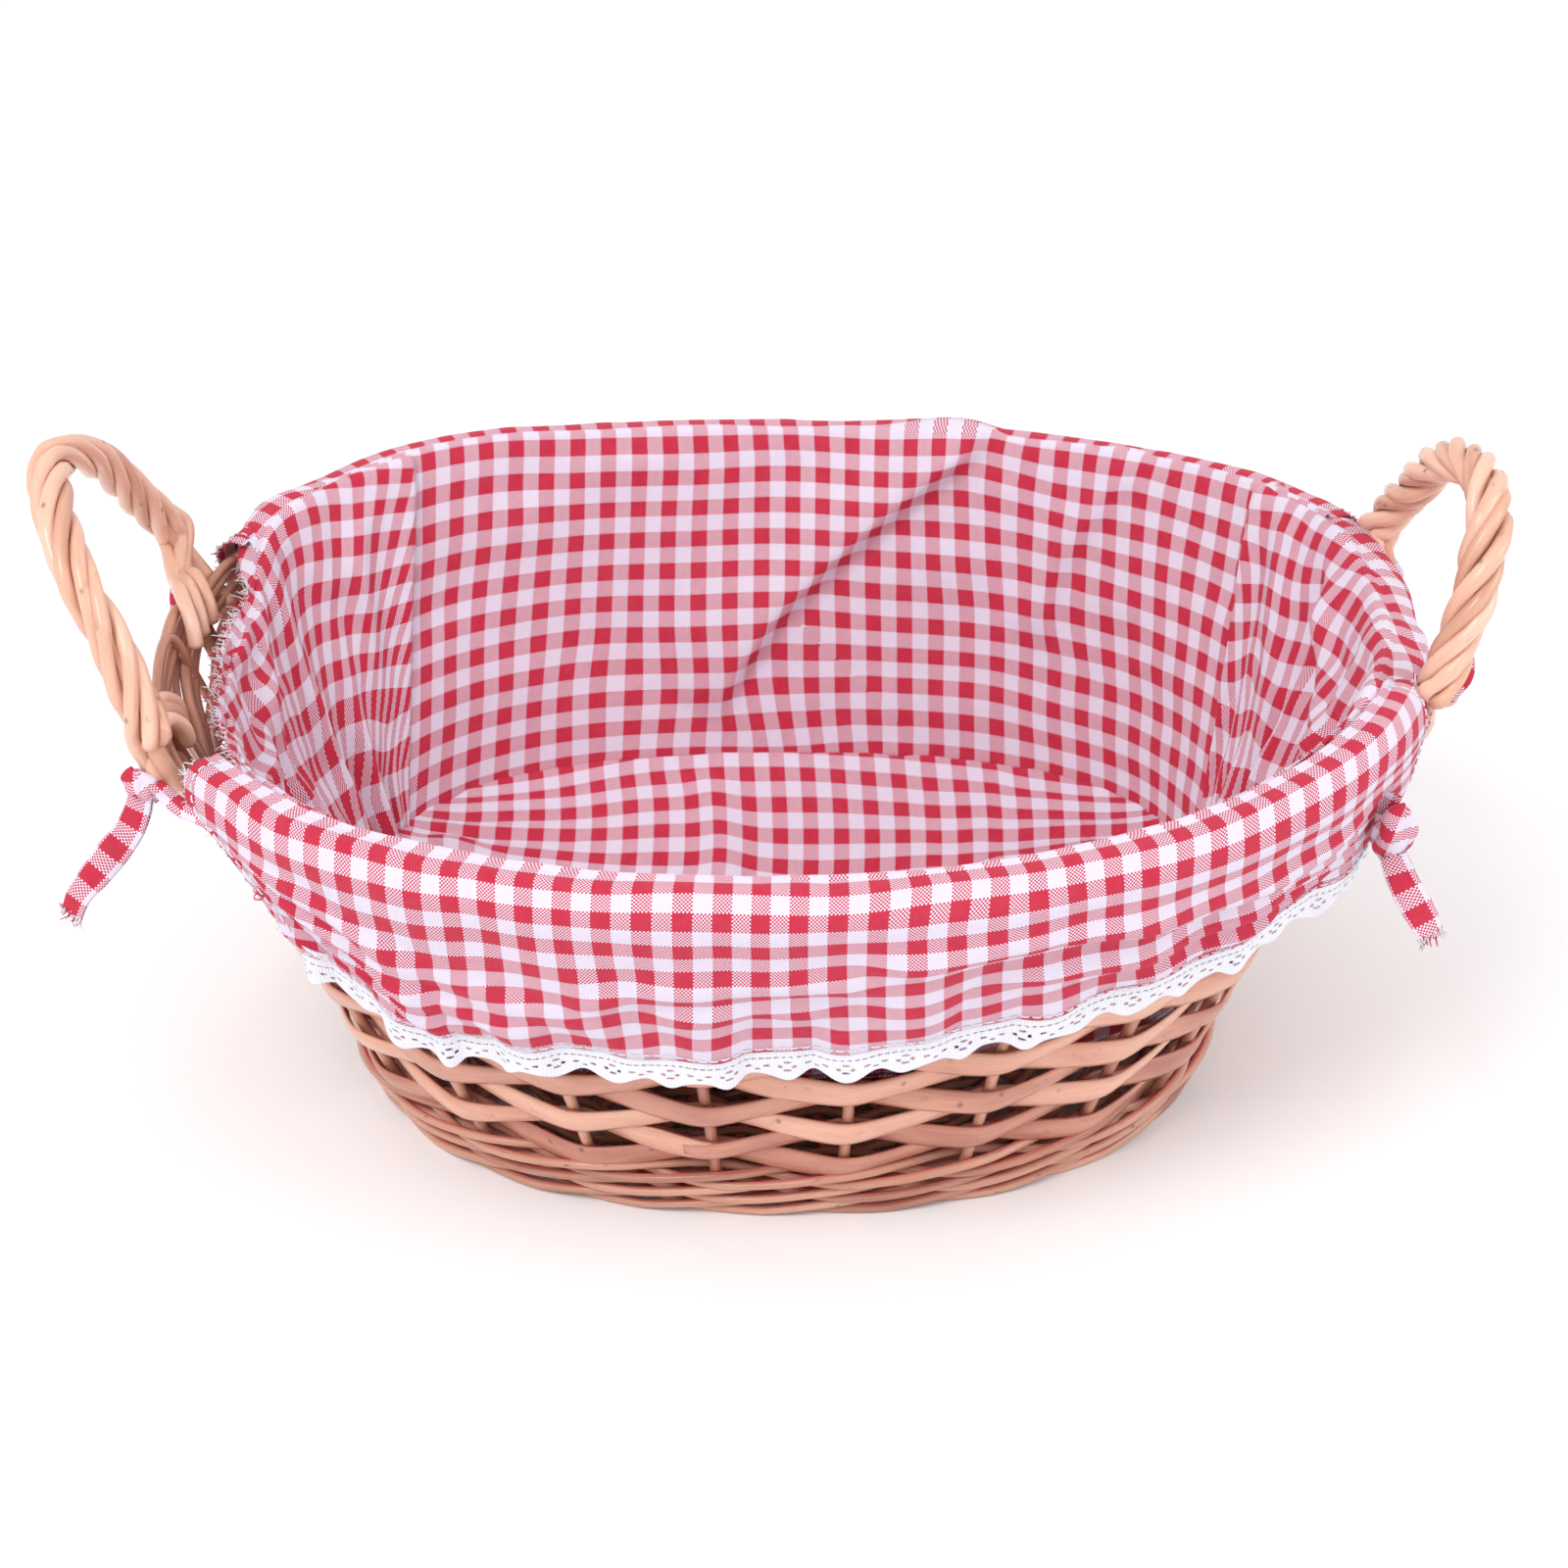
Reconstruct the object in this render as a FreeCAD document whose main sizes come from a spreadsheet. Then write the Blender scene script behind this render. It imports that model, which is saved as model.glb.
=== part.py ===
import FreeCAD, Part
import math
import os

# Oval willow bread basket with a removable gingham liner.
# Frame: +X along the length (a handle at each end), -Y is the front, +Z up.
# The origin is on the standing plane, under the middle of the base.
# Every rod and strip follows one flared oval wall, so each place on the basket is
# given as (turn, height, offset): how many stakes round from the front middle,
# how high, and how far outside the middle of the wall.

SIZES = {
    # flared oval wall, measured at the middle of the weave
    "oval_power": 2.2,
    "foot_height": 6.0,
    "foot_half_length": 122.0,
    "foot_half_depth": 87.5,
    "rim_height": 136.0,
    "rim_half_length": 176.0,
    "rim_half_depth": 133.0,
    # stakes: base spokes turned up into the side and down again at the border
    "stake_count": 20,
    "stake_radius": 1.5,
    "stake_base_height": 4.3,
    "stake_base_reach": 0.40,
    "stake_bend_radius": 8.0,
    "border_bend_radius": 5.0,
    "border_offset": 3.55,
    "border_wave_radius": 8.0,
    "border_tip_radius": 30.0,
    "border_drop": 9.0,
    # flat split-willow strips
    "strip_rows": 10,
    "strip_width": 7.3,
    "strip_thickness": 1.7,
    "strip_first_height": 22.6,
    "strip_pitch": 8.4,
    "end_gap_turn": 0.01,
    # round weaving rods
    "wale_radius": 1.4,
    "wale_first_height": 9.6,
    "wale_pitch": 3.5,
    "wale_rows": 3,
    "upper_wale_height": 105.4,
    "upper_wale_rows": 2,
    "foot_rod_radius": 1.6,
    "foot_rod_low_height": 1.7,
    "foot_rod_low_offset": 0.8,
    "foot_rod_high_height": 5.2,
    "foot_rod_high_offset": 2.6,
    "weave_clearance": 0.15,
    # base
    "ring_rod_radius": 1.2,
    "ring_count": 8,
    "ring_first_reach": 0.44,
    "ring_last_reach": 0.90,
    "long_stick_width": 5.0,
    "long_stick_thickness": 2.6,
    "long_stick_length": 84.0,
    "long_stick_pitch": 8.0,
    "long_stick_count": 3,
    "cross_stick_width": 4.6,
    "cross_stick_thickness": 2.4,
    "cross_stick_length": 60.0,
    "cross_stick_pitch": 12.0,
    "cross_stick_count": 5,
    "cross_stick_height": 2.8,
    # handles
    "bow_radius": 2.8,
    "wrap_radius": 1.8,
    "wrap_rods": 5,
    "wrap_turns": 7,
    "leg_offset": 8.2,
    "leg_low_height": 104.0,
    "leg_middle_height": 122.0,
    "leg_top_height": 138.0,
    "binding_radius": 1.3,
    "binding_top_height": 139.2,
    "binding_low_height": 112.5,
    "binding_inner_offset": -6.4,
    "binding_outer_offset": 12.8,
    "binding_half_turn": 0.09,
    "left_front_turn": 16.33,
    "left_back_turn": 14.05,
    "right_front_turn": 4.16,
    "right_back_turn": 5.93,
    # liner
    "cloth_thickness": 1.2,
    "liner_rim_offset": -9.0,
    "liner_rim_height": 139.0,
    "seam_half_length": 122.0,
    "seam_half_depth": 86.0,
    "seam_height": 48.0,
    "floor_half_length": 62.0,
    "floor_half_depth": 27.0,
    "floor_height": 9.2,
    "side_seam_turn": 2.65,
    "panel_gap_turn": 0.02,
    # cuffs and lace
    "front_cuff_first_turn": -3.5,
    "front_cuff_last_turn": 4.0,
    "back_cuff_first_turn": 6.1,
    "back_cuff_last_turn": 13.88,
    "cuff_crest_height": 141.0,
    "cuff_outer_offset": 5.7,
    "cuff_hem_height": 80.0,
    "lace_drop": 10.5,
    "lace_thickness": 1.0,
    # ties
    "knot_radius": 5.0,
    "tie_width": 9.0,
    "tie_thickness": 1.6,
    "tie_length": 44.0,
    "tie_lean_angle": 24.0,
}

os.makedirs("parts", exist_ok=True)
doc = FreeCAD.newDocument("bread_basket")
sheet = doc.addObject("Spreadsheet::Sheet", "sizes")
for row, (alias, value) in enumerate(SIZES.items(), start=1):
    sheet.set("A%d" % row, alias)
    sheet.set("B%d" % row, str(value))
    sheet.setAlias("B%d" % row, alias)
doc.recompute()

NODES = []


def size(alias):
    """A driving size, read from the sheet."""
    return float(sheet.get(alias))


def whole(alias):
    return int(round(size(alias)))


def add_shape(name, shape):
    """A sub-part whose shape is worked out here from the sheet's sizes."""
    node = doc.addObject("Part::Feature", name)
    node.Label = name
    node.Shape = shape
    node.Placement = FreeCAD.Placement()
    NODES.append(node)
    return node


# ---------------------------------------------------------------- the oval wall

OVAL_STEPS = 720
STEPS_PER_STAKE = 4


def unit_oval(angle):
    """Point of the superellipse with half axes of one; angle 0 is the front middle."""
    across = math.sin(angle)
    along = -math.cos(angle)
    power = size("oval_power")
    reach = (abs(across) ** power + abs(along) ** power) ** (-1.0 / power)
    return across * reach, along * reach


def turn_table():
    """Angles at equal steps of length round the oval at half height."""
    half_length = 0.5 * (size("foot_half_length") + size("rim_half_length"))
    half_depth = 0.5 * (size("foot_half_depth") + size("rim_half_depth"))
    angles = [2.0 * math.pi * step / OVAL_STEPS for step in range(OVAL_STEPS + 1)]
    lengths = [0.0]
    for first, second in zip(angles, angles[1:]):
        ax, ay = unit_oval(first)
        bx, by = unit_oval(second)
        lengths.append(lengths[-1] + math.hypot(half_length * (bx - ax), half_depth * (by - ay)))
    return angles, lengths


ANGLES, LENGTHS = turn_table()
STAKES = whole("stake_count")


def angle_at(turn):
    """Angle of a place given in stakes round from the front middle."""
    share = (turn / STAKES) % 1.0
    wanted = share * LENGTHS[-1]
    low = 0
    high = OVAL_STEPS
    while high - low > 1:
        middle = (low + high) // 2
        if LENGTHS[middle] <= wanted:
            low = middle
        else:
            high = middle
    part = (wanted - LENGTHS[low]) / (LENGTHS[high] - LENGTHS[low])
    return ANGLES[low] + part * (ANGLES[high] - ANGLES[low])


def half_axes(height):
    share = (height - size("foot_height")) / (size("rim_height") - size("foot_height"))
    half_length = size("foot_half_length") + share * (size("rim_half_length") - size("foot_half_length"))
    half_depth = size("foot_half_depth") + share * (size("rim_half_depth") - size("foot_half_depth"))
    return half_length, half_depth


def oval_frame(turn, half_length, half_depth):
    """Point of a level oval and its outward direction."""
    ux, uy = unit_oval(angle_at(turn))
    power = size("oval_power") - 1.0
    nx = math.copysign(abs(ux) ** power, ux) / half_length
    ny = math.copysign(abs(uy) ** power, uy) / half_depth
    outward = FreeCAD.Vector(nx, ny, 0.0)
    outward.normalize()
    return FreeCAD.Vector(half_length * ux, half_depth * uy, 0.0), outward


def wall_directions(turn, height):
    """Middle of the wall, the direction up the wall and the direction square out of it."""
    half_length, half_depth = half_axes(height)
    point, outward = oval_frame(turn, half_length, half_depth)
    rise = size("rim_height") - size("foot_height")
    ux, uy = unit_oval(angle_at(turn))
    up = FreeCAD.Vector((size("rim_half_length") - size("foot_half_length")) * ux / rise,
                        (size("rim_half_depth") - size("foot_half_depth")) * uy / rise, 1.0)
    up.normalize()
    square = outward - up * outward.dot(up)
    square.normalize()
    return point + FreeCAD.Vector(0, 0, height), up, square


def wall_point(turn, height, offset=0.0, rise=0.0):
    point, up, square = wall_directions(turn, height)
    return point + square * offset + up * rise


def oval_point(turn, reach, height):
    """Point of the base at a share of the way out to the foot of the wall."""
    ux, uy = unit_oval(angle_at(turn))
    return FreeCAD.Vector(size("foot_half_length") * reach * ux, size("foot_half_depth") * reach * uy, height)


# ---------------------------------------------------------------- rods and strips

def rounded_path(points, radii):
    """Straight runs joined by tangent arcs; radii belong to the inner points."""
    edges = []
    start = points[0]
    for before, corner, after, radius in zip(points, points[1:], points[2:], radii):
        back = (before - corner).normalize()
        ahead = (after - corner).normalize()
        half_turn = 0.5 * (math.pi - back.getAngle(ahead))
        reach = radius * math.tan(half_turn)
        arc_start = corner + back * reach
        arc_end = corner + ahead * reach
        toward = (back + ahead).normalize()
        arc_middle = corner + toward * (radius / math.cos(half_turn) - radius)
        edges.append(Part.LineSegment(start, arc_start).toShape())
        edges.append(Part.Arc(arc_start, arc_middle, arc_end).toShape())
        start = arc_end
    edges.append(Part.LineSegment(start, points[-1]).toShape())
    return Part.Wire(edges)


def rod_along(wire, radius):
    """A round rod swept along a wire."""
    edge = wire.OrderedEdges[0]
    start = edge.valueAt(edge.FirstParameter)
    direction = edge.tangentAt(edge.FirstParameter)
    ring = Part.Wire([Part.Circle(start, direction, radius).toShape()])
    return wire.makePipeShell([ring], True, True)


def curve_through(points, closed=False):
    curve = Part.BSplineCurve()
    if closed:
        curve.interpolate(Points=points, PeriodicFlag=True)
    else:
        curve.interpolate(Points=points)
    return Part.Wire([curve.toShape()])


def half_rounds(row):
    """Places round the wall for the two lengths of one round; their ends meet at stakes."""
    start = 0.5 + (7 * row) % STAKES
    gap = size("end_gap_turn")
    length = STAKES // 2
    steps = length * STEPS_PER_STAKE
    halves = []
    for first in (start, start + length):
        halves.append([first + gap + (length - 2.0 * gap) * step / steps for step in range(steps + 1)])
    return halves

def solid_between(corners):
    """A solid whose long edges are curves through the given points.

    The first half of the edges runs up one face of the piece and the second half
    runs down the other, so each end is closed by triangles between the two.
    """
    edges = [curve_through(points).Edges[0] for points in corners]
    faces = [Part.makeRuledSurface(first, second) for first, second in zip(edges, edges[1:] + edges[:1])]
    half = len(corners) // 2
    for end in (0, -1):
        near = [points[end] for points in corners[:half]]
        far = [points[end] for points in reversed(corners[half:])]
        for index in range(half - 1):
            for triangle in ((near[index], near[index + 1], far[index]),
                             (near[index + 1], far[index + 1], far[index])):
                faces.append(Part.Face(Part.makePolygon(list(triangle) + [triangle[0]])))
    shell = Part.makeShell(faces)
    shell.sewShape()
    solid = Part.Solid(Part.Shell(shell.Faces))
    solid.fix(0.001, 0.001, 0.001)
    if solid.Volume < 0.0:
        solid.reverse()
    return solid

def weave_offset(turn, row, reach):
    """Outside one stake and inside the next, the other way in the next row."""
    return reach * math.cos(math.pi * (turn - 0.5 + row))


def make_strip(row):
    """One row of flat split willow, woven through the stakes in two lengths."""
    height = size("strip_first_height") + row * size("strip_pitch")
    reach = size("stake_radius") + 0.5 * size("strip_thickness") + size("weave_clearance")
    strips = []
    for half in half_rounds(row):
        corners = [[], [], [], []]
        for turn in half:
            offset = weave_offset(turn, row, reach)
            middle, up, square = wall_directions(turn, height)
            for points, side, face in zip(corners, (-1, 1, 1, -1), (-1, -1, 1, 1)):
                points.append(middle + up * (0.5 * side * size("strip_width"))
                              + square * (offset + 0.5 * face * size("strip_thickness")))
        strips.append(solid_between(corners))
    return Part.makeCompound(strips)


def make_wale_round(height, row):
    """Two round rods that together are woven once round the wall."""
    radius = size("wale_radius")
    reach = size("stake_radius") + radius + size("weave_clearance")
    rods = []
    for half in half_rounds(row):
        points = [wall_point(turn, height, weave_offset(turn, row, reach)) for turn in half]
        rods.append(rod_along(curve_through(points), radius))
    return rods


def make_foot_round(height, offset, row):
    """Two rods laid round outside the stakes where they turn up."""
    rods = []
    for half in half_rounds(row):
        points = [wall_point(turn, height, offset) for turn in half]
        rods.append(rod_along(curve_through(points), size("foot_rod_radius")))
    return rods


def make_base_round(row, reach_out):
    """Two rods that together are woven once round the base spokes."""
    radius = size("ring_rod_radius")
    reach = size("stake_radius") + radius + size("weave_clearance")
    level = size("stake_base_height")
    rods = []
    for half in half_rounds(row):
        points = [oval_point(turn, reach_out, level + weave_offset(turn, row, reach)) for turn in half]
        rods.append(rod_along(curve_through(points), radius))
    return rods


def make_stake(index):
    """Base spoke, side stake and border rod in one length of willow."""
    turn = index + 0.5
    rim = size("rim_height")
    side = size("border_offset")
    drop = size("border_drop")
    points = [
        oval_point(turn, size("stake_base_reach"), size("stake_base_height")),
        wall_point(turn, size("stake_base_height")),
        wall_point(turn, rim),
        wall_point(turn + 1.0, rim - drop, side),
        wall_point(turn + 2.0, rim - 2.0 * drop, -side),
        wall_point(turn + 2.3, rim - 2.2 * drop, -side),
    ]
    bends = [size("stake_bend_radius"), size("border_bend_radius"), size("border_wave_radius"),
             size("border_tip_radius")]
    return rod_along(rounded_path(points, bends), size("stake_radius"))


# ---------------------------------------------------------------- base sticks

def add_sticks(name, count, length, width, thickness, pitch, height, turned):
    """A row of parallel flat sticks, each a box bound to the sheet."""
    group = doc.addObject("Part::Compound", name)
    group.Label = name
    sticks = []
    for index in range(whole(count)):
        stick = doc.addObject("Part::Box", "%s_%d" % (name, index + 1))
        along, across = ("Width", "Length") if turned else ("Length", "Width")
        stick.setExpression(along, "sizes.%s" % length)
        stick.setExpression(across, "sizes.%s" % width)
        stick.setExpression("Height", "sizes.%s" % thickness)
        start, shift = ("y", "x") if turned else ("x", "y")
        place = index - 0.5 * (whole(count) - 1)
        stick.setExpression("Placement.Base.%s" % start, "-sizes.%s / 2" % length)
        stick.setExpression("Placement.Base.%s" % shift,
                            "%s * sizes.%s - sizes.%s / 2" % (place, pitch, width))
        if height:
            stick.setExpression("Placement.Base.z", "sizes.%s" % height)
        sticks.append(stick)
    group.Links = sticks
    NODES.append(group)


# ---------------------------------------------------------------- handles

# Points that the middle line of each bow passes through above the border,
# from its front leg over the top to its back leg.
LEFT_ARCH = [
    (-168.0, -66.5, 150.0), (-175.5, -61.5, 171.0), (-187.0, -47.0, 189.0), (-197.0, -16.0, 199.0),
    (-193.0, 14.0, 188.0), (-187.5, 36.0, 166.0), (-181.0, 48.5, 148.0),
]
RIGHT_ARCH = [
    (181.0, -43.5, 150.0), (187.0, -40.0, 168.0), (192.0, -28.0, 187.0), (192.0, -8.0, 192.0),
    (187.0, 15.0, 184.0), (183.0, 34.0, 166.0), (178.5, 47.5, 150.0),
]


def bow_points(arch, front_turn, back_turn):
    """The bow's legs stand against the outside of the weave and lean out into the arch."""
    heights = [size("leg_low_height"), size("leg_middle_height"), size("leg_top_height")]
    front = [wall_point(front_turn, height, size("leg_offset")) for height in heights]
    back = [wall_point(back_turn, height, size("leg_offset")) for height in reversed(heights)]
    return front + [FreeCAD.Vector(*point) for point in arch] + back


def make_wraps(points):
    """Thin rods laid side by side and twisted round the arch, clear of the border."""
    edge = curve_through(points).Edges[0]
    first = edge.Curve.parameter(points[3])
    last = edge.Curve.parameter(points[-4])
    distance = size("bow_radius") + size("wrap_radius") + 0.1
    side = FreeCAD.Vector(1, 0, 0)
    rods = []
    steps = 14 * whole("wrap_turns")
    for rod in range(whole("wrap_rods")):
        path = []
        for step in range(steps + 1):
            value = first + (last - first) * step / steps
            centre = edge.valueAt(value)
            tangent = edge.tangentAt(value)
            across = (side - tangent * side.dot(tangent)).normalize()
            beside = tangent.cross(across)
            angle = 2.0 * math.pi * (rod / size("wrap_rods") + 0.5 * step / 14.0)
            path.append(centre + across * (distance * math.cos(angle)) + beside * (distance * math.sin(angle)))
        rods.append(rod_along(curve_through(path), size("wrap_radius")))
    return Part.makeCompound(rods)


def make_binding(turn):
    """A thin rod wound twice round the border and across the outside of a bow's leg."""
    top = size("binding_top_height")
    low = size("binding_low_height")
    inner = size("binding_inner_offset")
    outer = size("binding_outer_offset")
    first = turn - size("binding_half_turn")
    last = turn + size("binding_half_turn")
    path = rounded_path([
        wall_point(first, low, inner), wall_point(first, top, inner), wall_point(first, top, outer),
        wall_point(last, low, outer), wall_point(last, low, inner), wall_point(last, top, inner),
        wall_point(last, top, outer), wall_point(last, 0.5 * (low + top), outer),
    ], [4.0] * 6)
    return rod_along(path, size("binding_radius"))


# ---------------------------------------------------------------- liner

def band(profile, first, last, steps):
    """A sheet that follows the oval: its outline is the same at every place."""
    turns = [first + (last - first) * step / steps for step in range(steps + 1)]
    return solid_between([[place(turn) for turn in turns] for place in profile])

def level_oval(half_length, half_depth, height):
    points = []
    for step in range(60):
        ux, uy = unit_oval(2.0 * math.pi * step / 60.0)
        points.append(FreeCAD.Vector(half_length * ux, half_depth * uy, height))
    return curve_through(points, closed=True)


def make_floor():
    """Floor panel: lies on the base in the middle and rises to the seam all round."""
    thick = size("cloth_thickness")
    half_length = size("seam_half_length")
    half_depth = size("seam_half_depth")
    under = Part.makeLoft([
        level_oval(size("floor_half_length"), size("floor_half_depth"), size("floor_height")),
        level_oval(half_length, half_depth, size("seam_height") - 0.5)], True, True)
    over = Part.makeLoft([
        level_oval(size("floor_half_length"), size("floor_half_depth"), size("floor_height") + thick),
        level_oval(half_length, half_depth, size("seam_height") - 0.5 + thick)], True, True)
    return under.cut(over)


def seam_point(turn, offset, height):
    point, outward = oval_frame(turn, size("seam_half_length"), size("seam_half_depth"))
    return point + outward * offset + FreeCAD.Vector(0, 0, height)


def make_wall(first, last):
    """Wall panel between the rim and the floor seam."""
    thick = size("cloth_thickness")
    rim = size("liner_rim_offset")
    top = size("liner_rim_height")
    seam = size("seam_height") + thick
    profile = [
        lambda turn: seam_point(turn, 0.0, seam),
        lambda turn: wall_point(turn, top, rim),
        lambda turn: wall_point(turn, top, rim - thick),
        lambda turn: seam_point(turn, -thick, seam),
    ]
    return band(profile, first, last, 14)


def make_cuff(first, last):
    """Cuff: rises past the rim, folds over it and hangs down outside."""
    thick = size("cloth_thickness")
    crest = size("cuff_crest_height")
    base = size("liner_rim_height") + 0.2
    inner = size("liner_rim_offset")
    outer = size("cuff_outer_offset")
    hem = size("cuff_hem_height")
    profile = [
        lambda turn: wall_point(turn, base, inner),
        lambda turn: wall_point(turn, crest - thick, inner + 0.5),
        lambda turn: wall_point(turn, crest - thick, outer - 0.5),
        lambda turn: wall_point(turn, hem, outer),
        lambda turn: wall_point(turn, hem, outer + thick),
        lambda turn: wall_point(turn, crest, outer + 0.3),
        lambda turn: wall_point(turn, crest, inner - 0.3),
        lambda turn: wall_point(turn, base, inner - thick),
    ]
    return band(profile, first, last, 24)


def make_lace(first, last):
    """Lace edging that hangs from the hem of a cuff."""
    top = size("cuff_hem_height") - 0.2
    low = top - size("lace_drop")
    offset = size("cuff_outer_offset")
    thick = size("lace_thickness")
    profile = [
        lambda turn: wall_point(turn, low, offset),
        lambda turn: wall_point(turn, top, offset),
        lambda turn: wall_point(turn, top, offset + thick),
        lambda turn: wall_point(turn, low, offset + thick),
    ]
    return band(profile, first, last, 24)


def add_tie(name, knot, heading):
    """A tie: its knot, and its two ends hanging side by side as one flat tail."""
    barrel = doc.addObject("Part::Cylinder", name + "_knot")
    barrel.setExpression("Radius", "sizes.knot_radius")
    barrel.setExpression("Height", "2 * sizes.knot_radius")
    barrel.setExpression("Placement.Base.z", "-sizes.knot_radius")
    tail = doc.addObject("Part::Box", name + "_tail")
    tail.setExpression("Length", "sizes.tie_width")
    tail.setExpression("Width", "sizes.tie_thickness")
    tail.setExpression("Height", "sizes.tie_length")
    tail.setExpression("Placement.Base.x", "-sizes.tie_width / 2")
    tail.setExpression("Placement.Base.y", "-sizes.tie_thickness / 2")
    tail.setExpression("Placement.Base.z", "-sizes.tie_length")
    tie = doc.addObject("Part::Fuse", name)
    tie.Label = name
    tie.Base = barrel
    tie.Tool = tail
    heading = FreeCAD.Rotation(FreeCAD.Vector(0, 0, 1), heading)
    lean = FreeCAD.Rotation(FreeCAD.Vector(1, 0, 0), -size("tie_lean_angle"))
    tie.Placement = FreeCAD.Placement(FreeCAD.Vector(*knot), heading.multiply(lean))
    NODES.append(tie)


# ---------------------------------------------------------------- the assembly

add_sticks("base_long_sticks", "long_stick_count", "long_stick_length", "long_stick_width",
           "long_stick_thickness", "long_stick_pitch", None, False)
add_sticks("base_cross_sticks", "cross_stick_count", "cross_stick_length", "cross_stick_width",
           "cross_stick_thickness", "cross_stick_pitch", "cross_stick_height", True)

base_rods = []
for row in range(whole("ring_count")):
    share = row / (size("ring_count") - 1.0)
    reach_out = size("ring_first_reach") + share * (size("ring_last_reach") - size("ring_first_reach"))
    base_rods += make_base_round(row, reach_out)
add_shape("base_weave", Part.makeCompound(base_rods))

for index in range(STAKES):
    add_shape("stake_%02d" % (index + 1), make_stake(index))

add_shape("foot_wale", Part.makeCompound(
    make_foot_round(size("foot_rod_low_height"), size("foot_rod_low_offset"), 0)
    + make_foot_round(size("foot_rod_high_height"), size("foot_rod_high_offset"), 1)))
lower_rods = []
for row in range(whole("wale_rows")):
    lower_rods += make_wale_round(size("wale_first_height") + row * size("wale_pitch"), row)
add_shape("lower_wale", Part.makeCompound(lower_rods))
for row in range(whole("strip_rows")):
    add_shape("strip_%02d" % (row + 1), make_strip(row))
upper_rods = []
for row in range(whole("upper_wale_rows")):
    upper_rods += make_wale_round(size("upper_wale_height") + row * size("wale_pitch"), row)
add_shape("upper_wale", Part.makeCompound(upper_rods))

for side, arch in (("left", LEFT_ARCH), ("right", RIGHT_ARCH)):
    front_turn = size(side + "_front_turn")
    back_turn = size(side + "_back_turn")
    points = bow_points(arch, front_turn, back_turn)
    add_shape(side + "_handle_bow", rod_along(curve_through(points), size("bow_radius")))
    add_shape(side + "_handle_wrap", make_wraps(points))
    add_shape(side + "_handle_binding", Part.makeCompound([make_binding(front_turn), make_binding(back_turn)]))

SEAM = size("side_seam_turn")
GAP = size("panel_gap_turn")
HALF = STAKES / 2.0
FRONT = (size("front_cuff_first_turn"), size("front_cuff_last_turn"))
BACK = (size("back_cuff_first_turn"), size("back_cuff_last_turn"))
add_shape("liner_floor", make_floor())
add_shape("liner_front_wall", make_wall(-SEAM, SEAM))
add_shape("liner_right_end", make_wall(SEAM + GAP, HALF - SEAM - GAP))
add_shape("liner_back_wall", make_wall(HALF - SEAM, HALF + SEAM))
add_shape("liner_left_end", make_wall(HALF + SEAM + GAP, STAKES - SEAM - GAP))
add_shape("front_cuff", make_cuff(*FRONT))
add_shape("back_cuff", make_cuff(*BACK))
add_shape("front_lace", make_lace(*FRONT))
add_shape("back_lace", make_lace(*BACK))
add_tie("left_front_tie", (-174.0, -77.0, 126.0), -55.0)
add_tie("right_front_tie", (184.0, -62.0, 126.0), 50.0)
add_tie("left_back_tie", (-184.0, 66.0, 126.0), -130.0)
add_tie("right_back_tie", (184.0, 67.0, 126.0), 130.0)

# ---------------------------------------------------------------- checks and files

doc.recompute()
for item in doc.Objects:
    for state in item.State:
        if state in ("Invalid", "Error"):
            raise RuntimeError("%s failed to compute" % item.Name)
for node in NODES:
    if node.Shape.isNull() or not node.Shape.isValid():
        raise RuntimeError("%s has no valid shape" % node.Label)
for node in NODES:
    node.Shape.exportStep("parts/%s.step" % node.Label)
    solids = node.Shape.Solids
    print("%-20s solids %2d  volume %9.1f" % (node.Label, len(solids), sum(piece.Volume for piece in solids)))
print(len(NODES), "nodes")
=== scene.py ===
import math

import bpy
import numpy as np
from mathutils import Matrix, Vector


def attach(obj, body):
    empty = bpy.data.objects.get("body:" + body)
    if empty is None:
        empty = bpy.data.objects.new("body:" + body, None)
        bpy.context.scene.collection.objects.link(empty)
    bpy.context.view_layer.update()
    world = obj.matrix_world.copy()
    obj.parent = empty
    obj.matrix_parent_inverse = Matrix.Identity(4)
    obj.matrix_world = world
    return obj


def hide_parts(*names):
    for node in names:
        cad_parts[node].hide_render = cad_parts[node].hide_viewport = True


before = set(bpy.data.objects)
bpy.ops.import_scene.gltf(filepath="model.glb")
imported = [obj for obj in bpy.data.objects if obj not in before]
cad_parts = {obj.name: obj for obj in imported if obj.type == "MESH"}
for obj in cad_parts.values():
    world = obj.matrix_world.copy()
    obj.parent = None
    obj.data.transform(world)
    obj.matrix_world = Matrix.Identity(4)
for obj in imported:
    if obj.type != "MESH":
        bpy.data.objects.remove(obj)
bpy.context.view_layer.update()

# Oval willow bread basket with a gingham liner, in metres, in the frame of the CAD model:
# +X towards the right handle, -Y the front, +Z up.  Lengths named here are in millimetres
# and are turned into metres where a mesh is made.  A "turn" is a place round the oval,
# counted in stakes from the front middle: 5 is the right end, 10 the back, 15 the left end.
MM = 0.001
random = np.random.default_rng(7)

# ------------------------------------------------------------------ the oval wall

OVAL_POWER = 2.2
FOOT = (6.0, 122.0, 87.5)       # height, half length, half depth of the middle of the weave
RIM = (136.0, 176.0, 133.0)
STAKES = 20
TABLE_STEPS = 2880


def unit_oval(angle, power=OVAL_POWER):
    """Point of the superellipse with half axes of one; angle 0 is the front middle."""
    across = np.sin(angle)
    along = -np.cos(angle)
    reach = (np.abs(across) ** power + np.abs(along) ** power) ** (-1.0 / power)
    return across * reach, along * reach


def running_length(line):
    """Length along a line of points, at each point."""
    return np.concatenate([[0.0], np.cumsum(np.linalg.norm(np.diff(line, axis=0), axis=1))])


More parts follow.
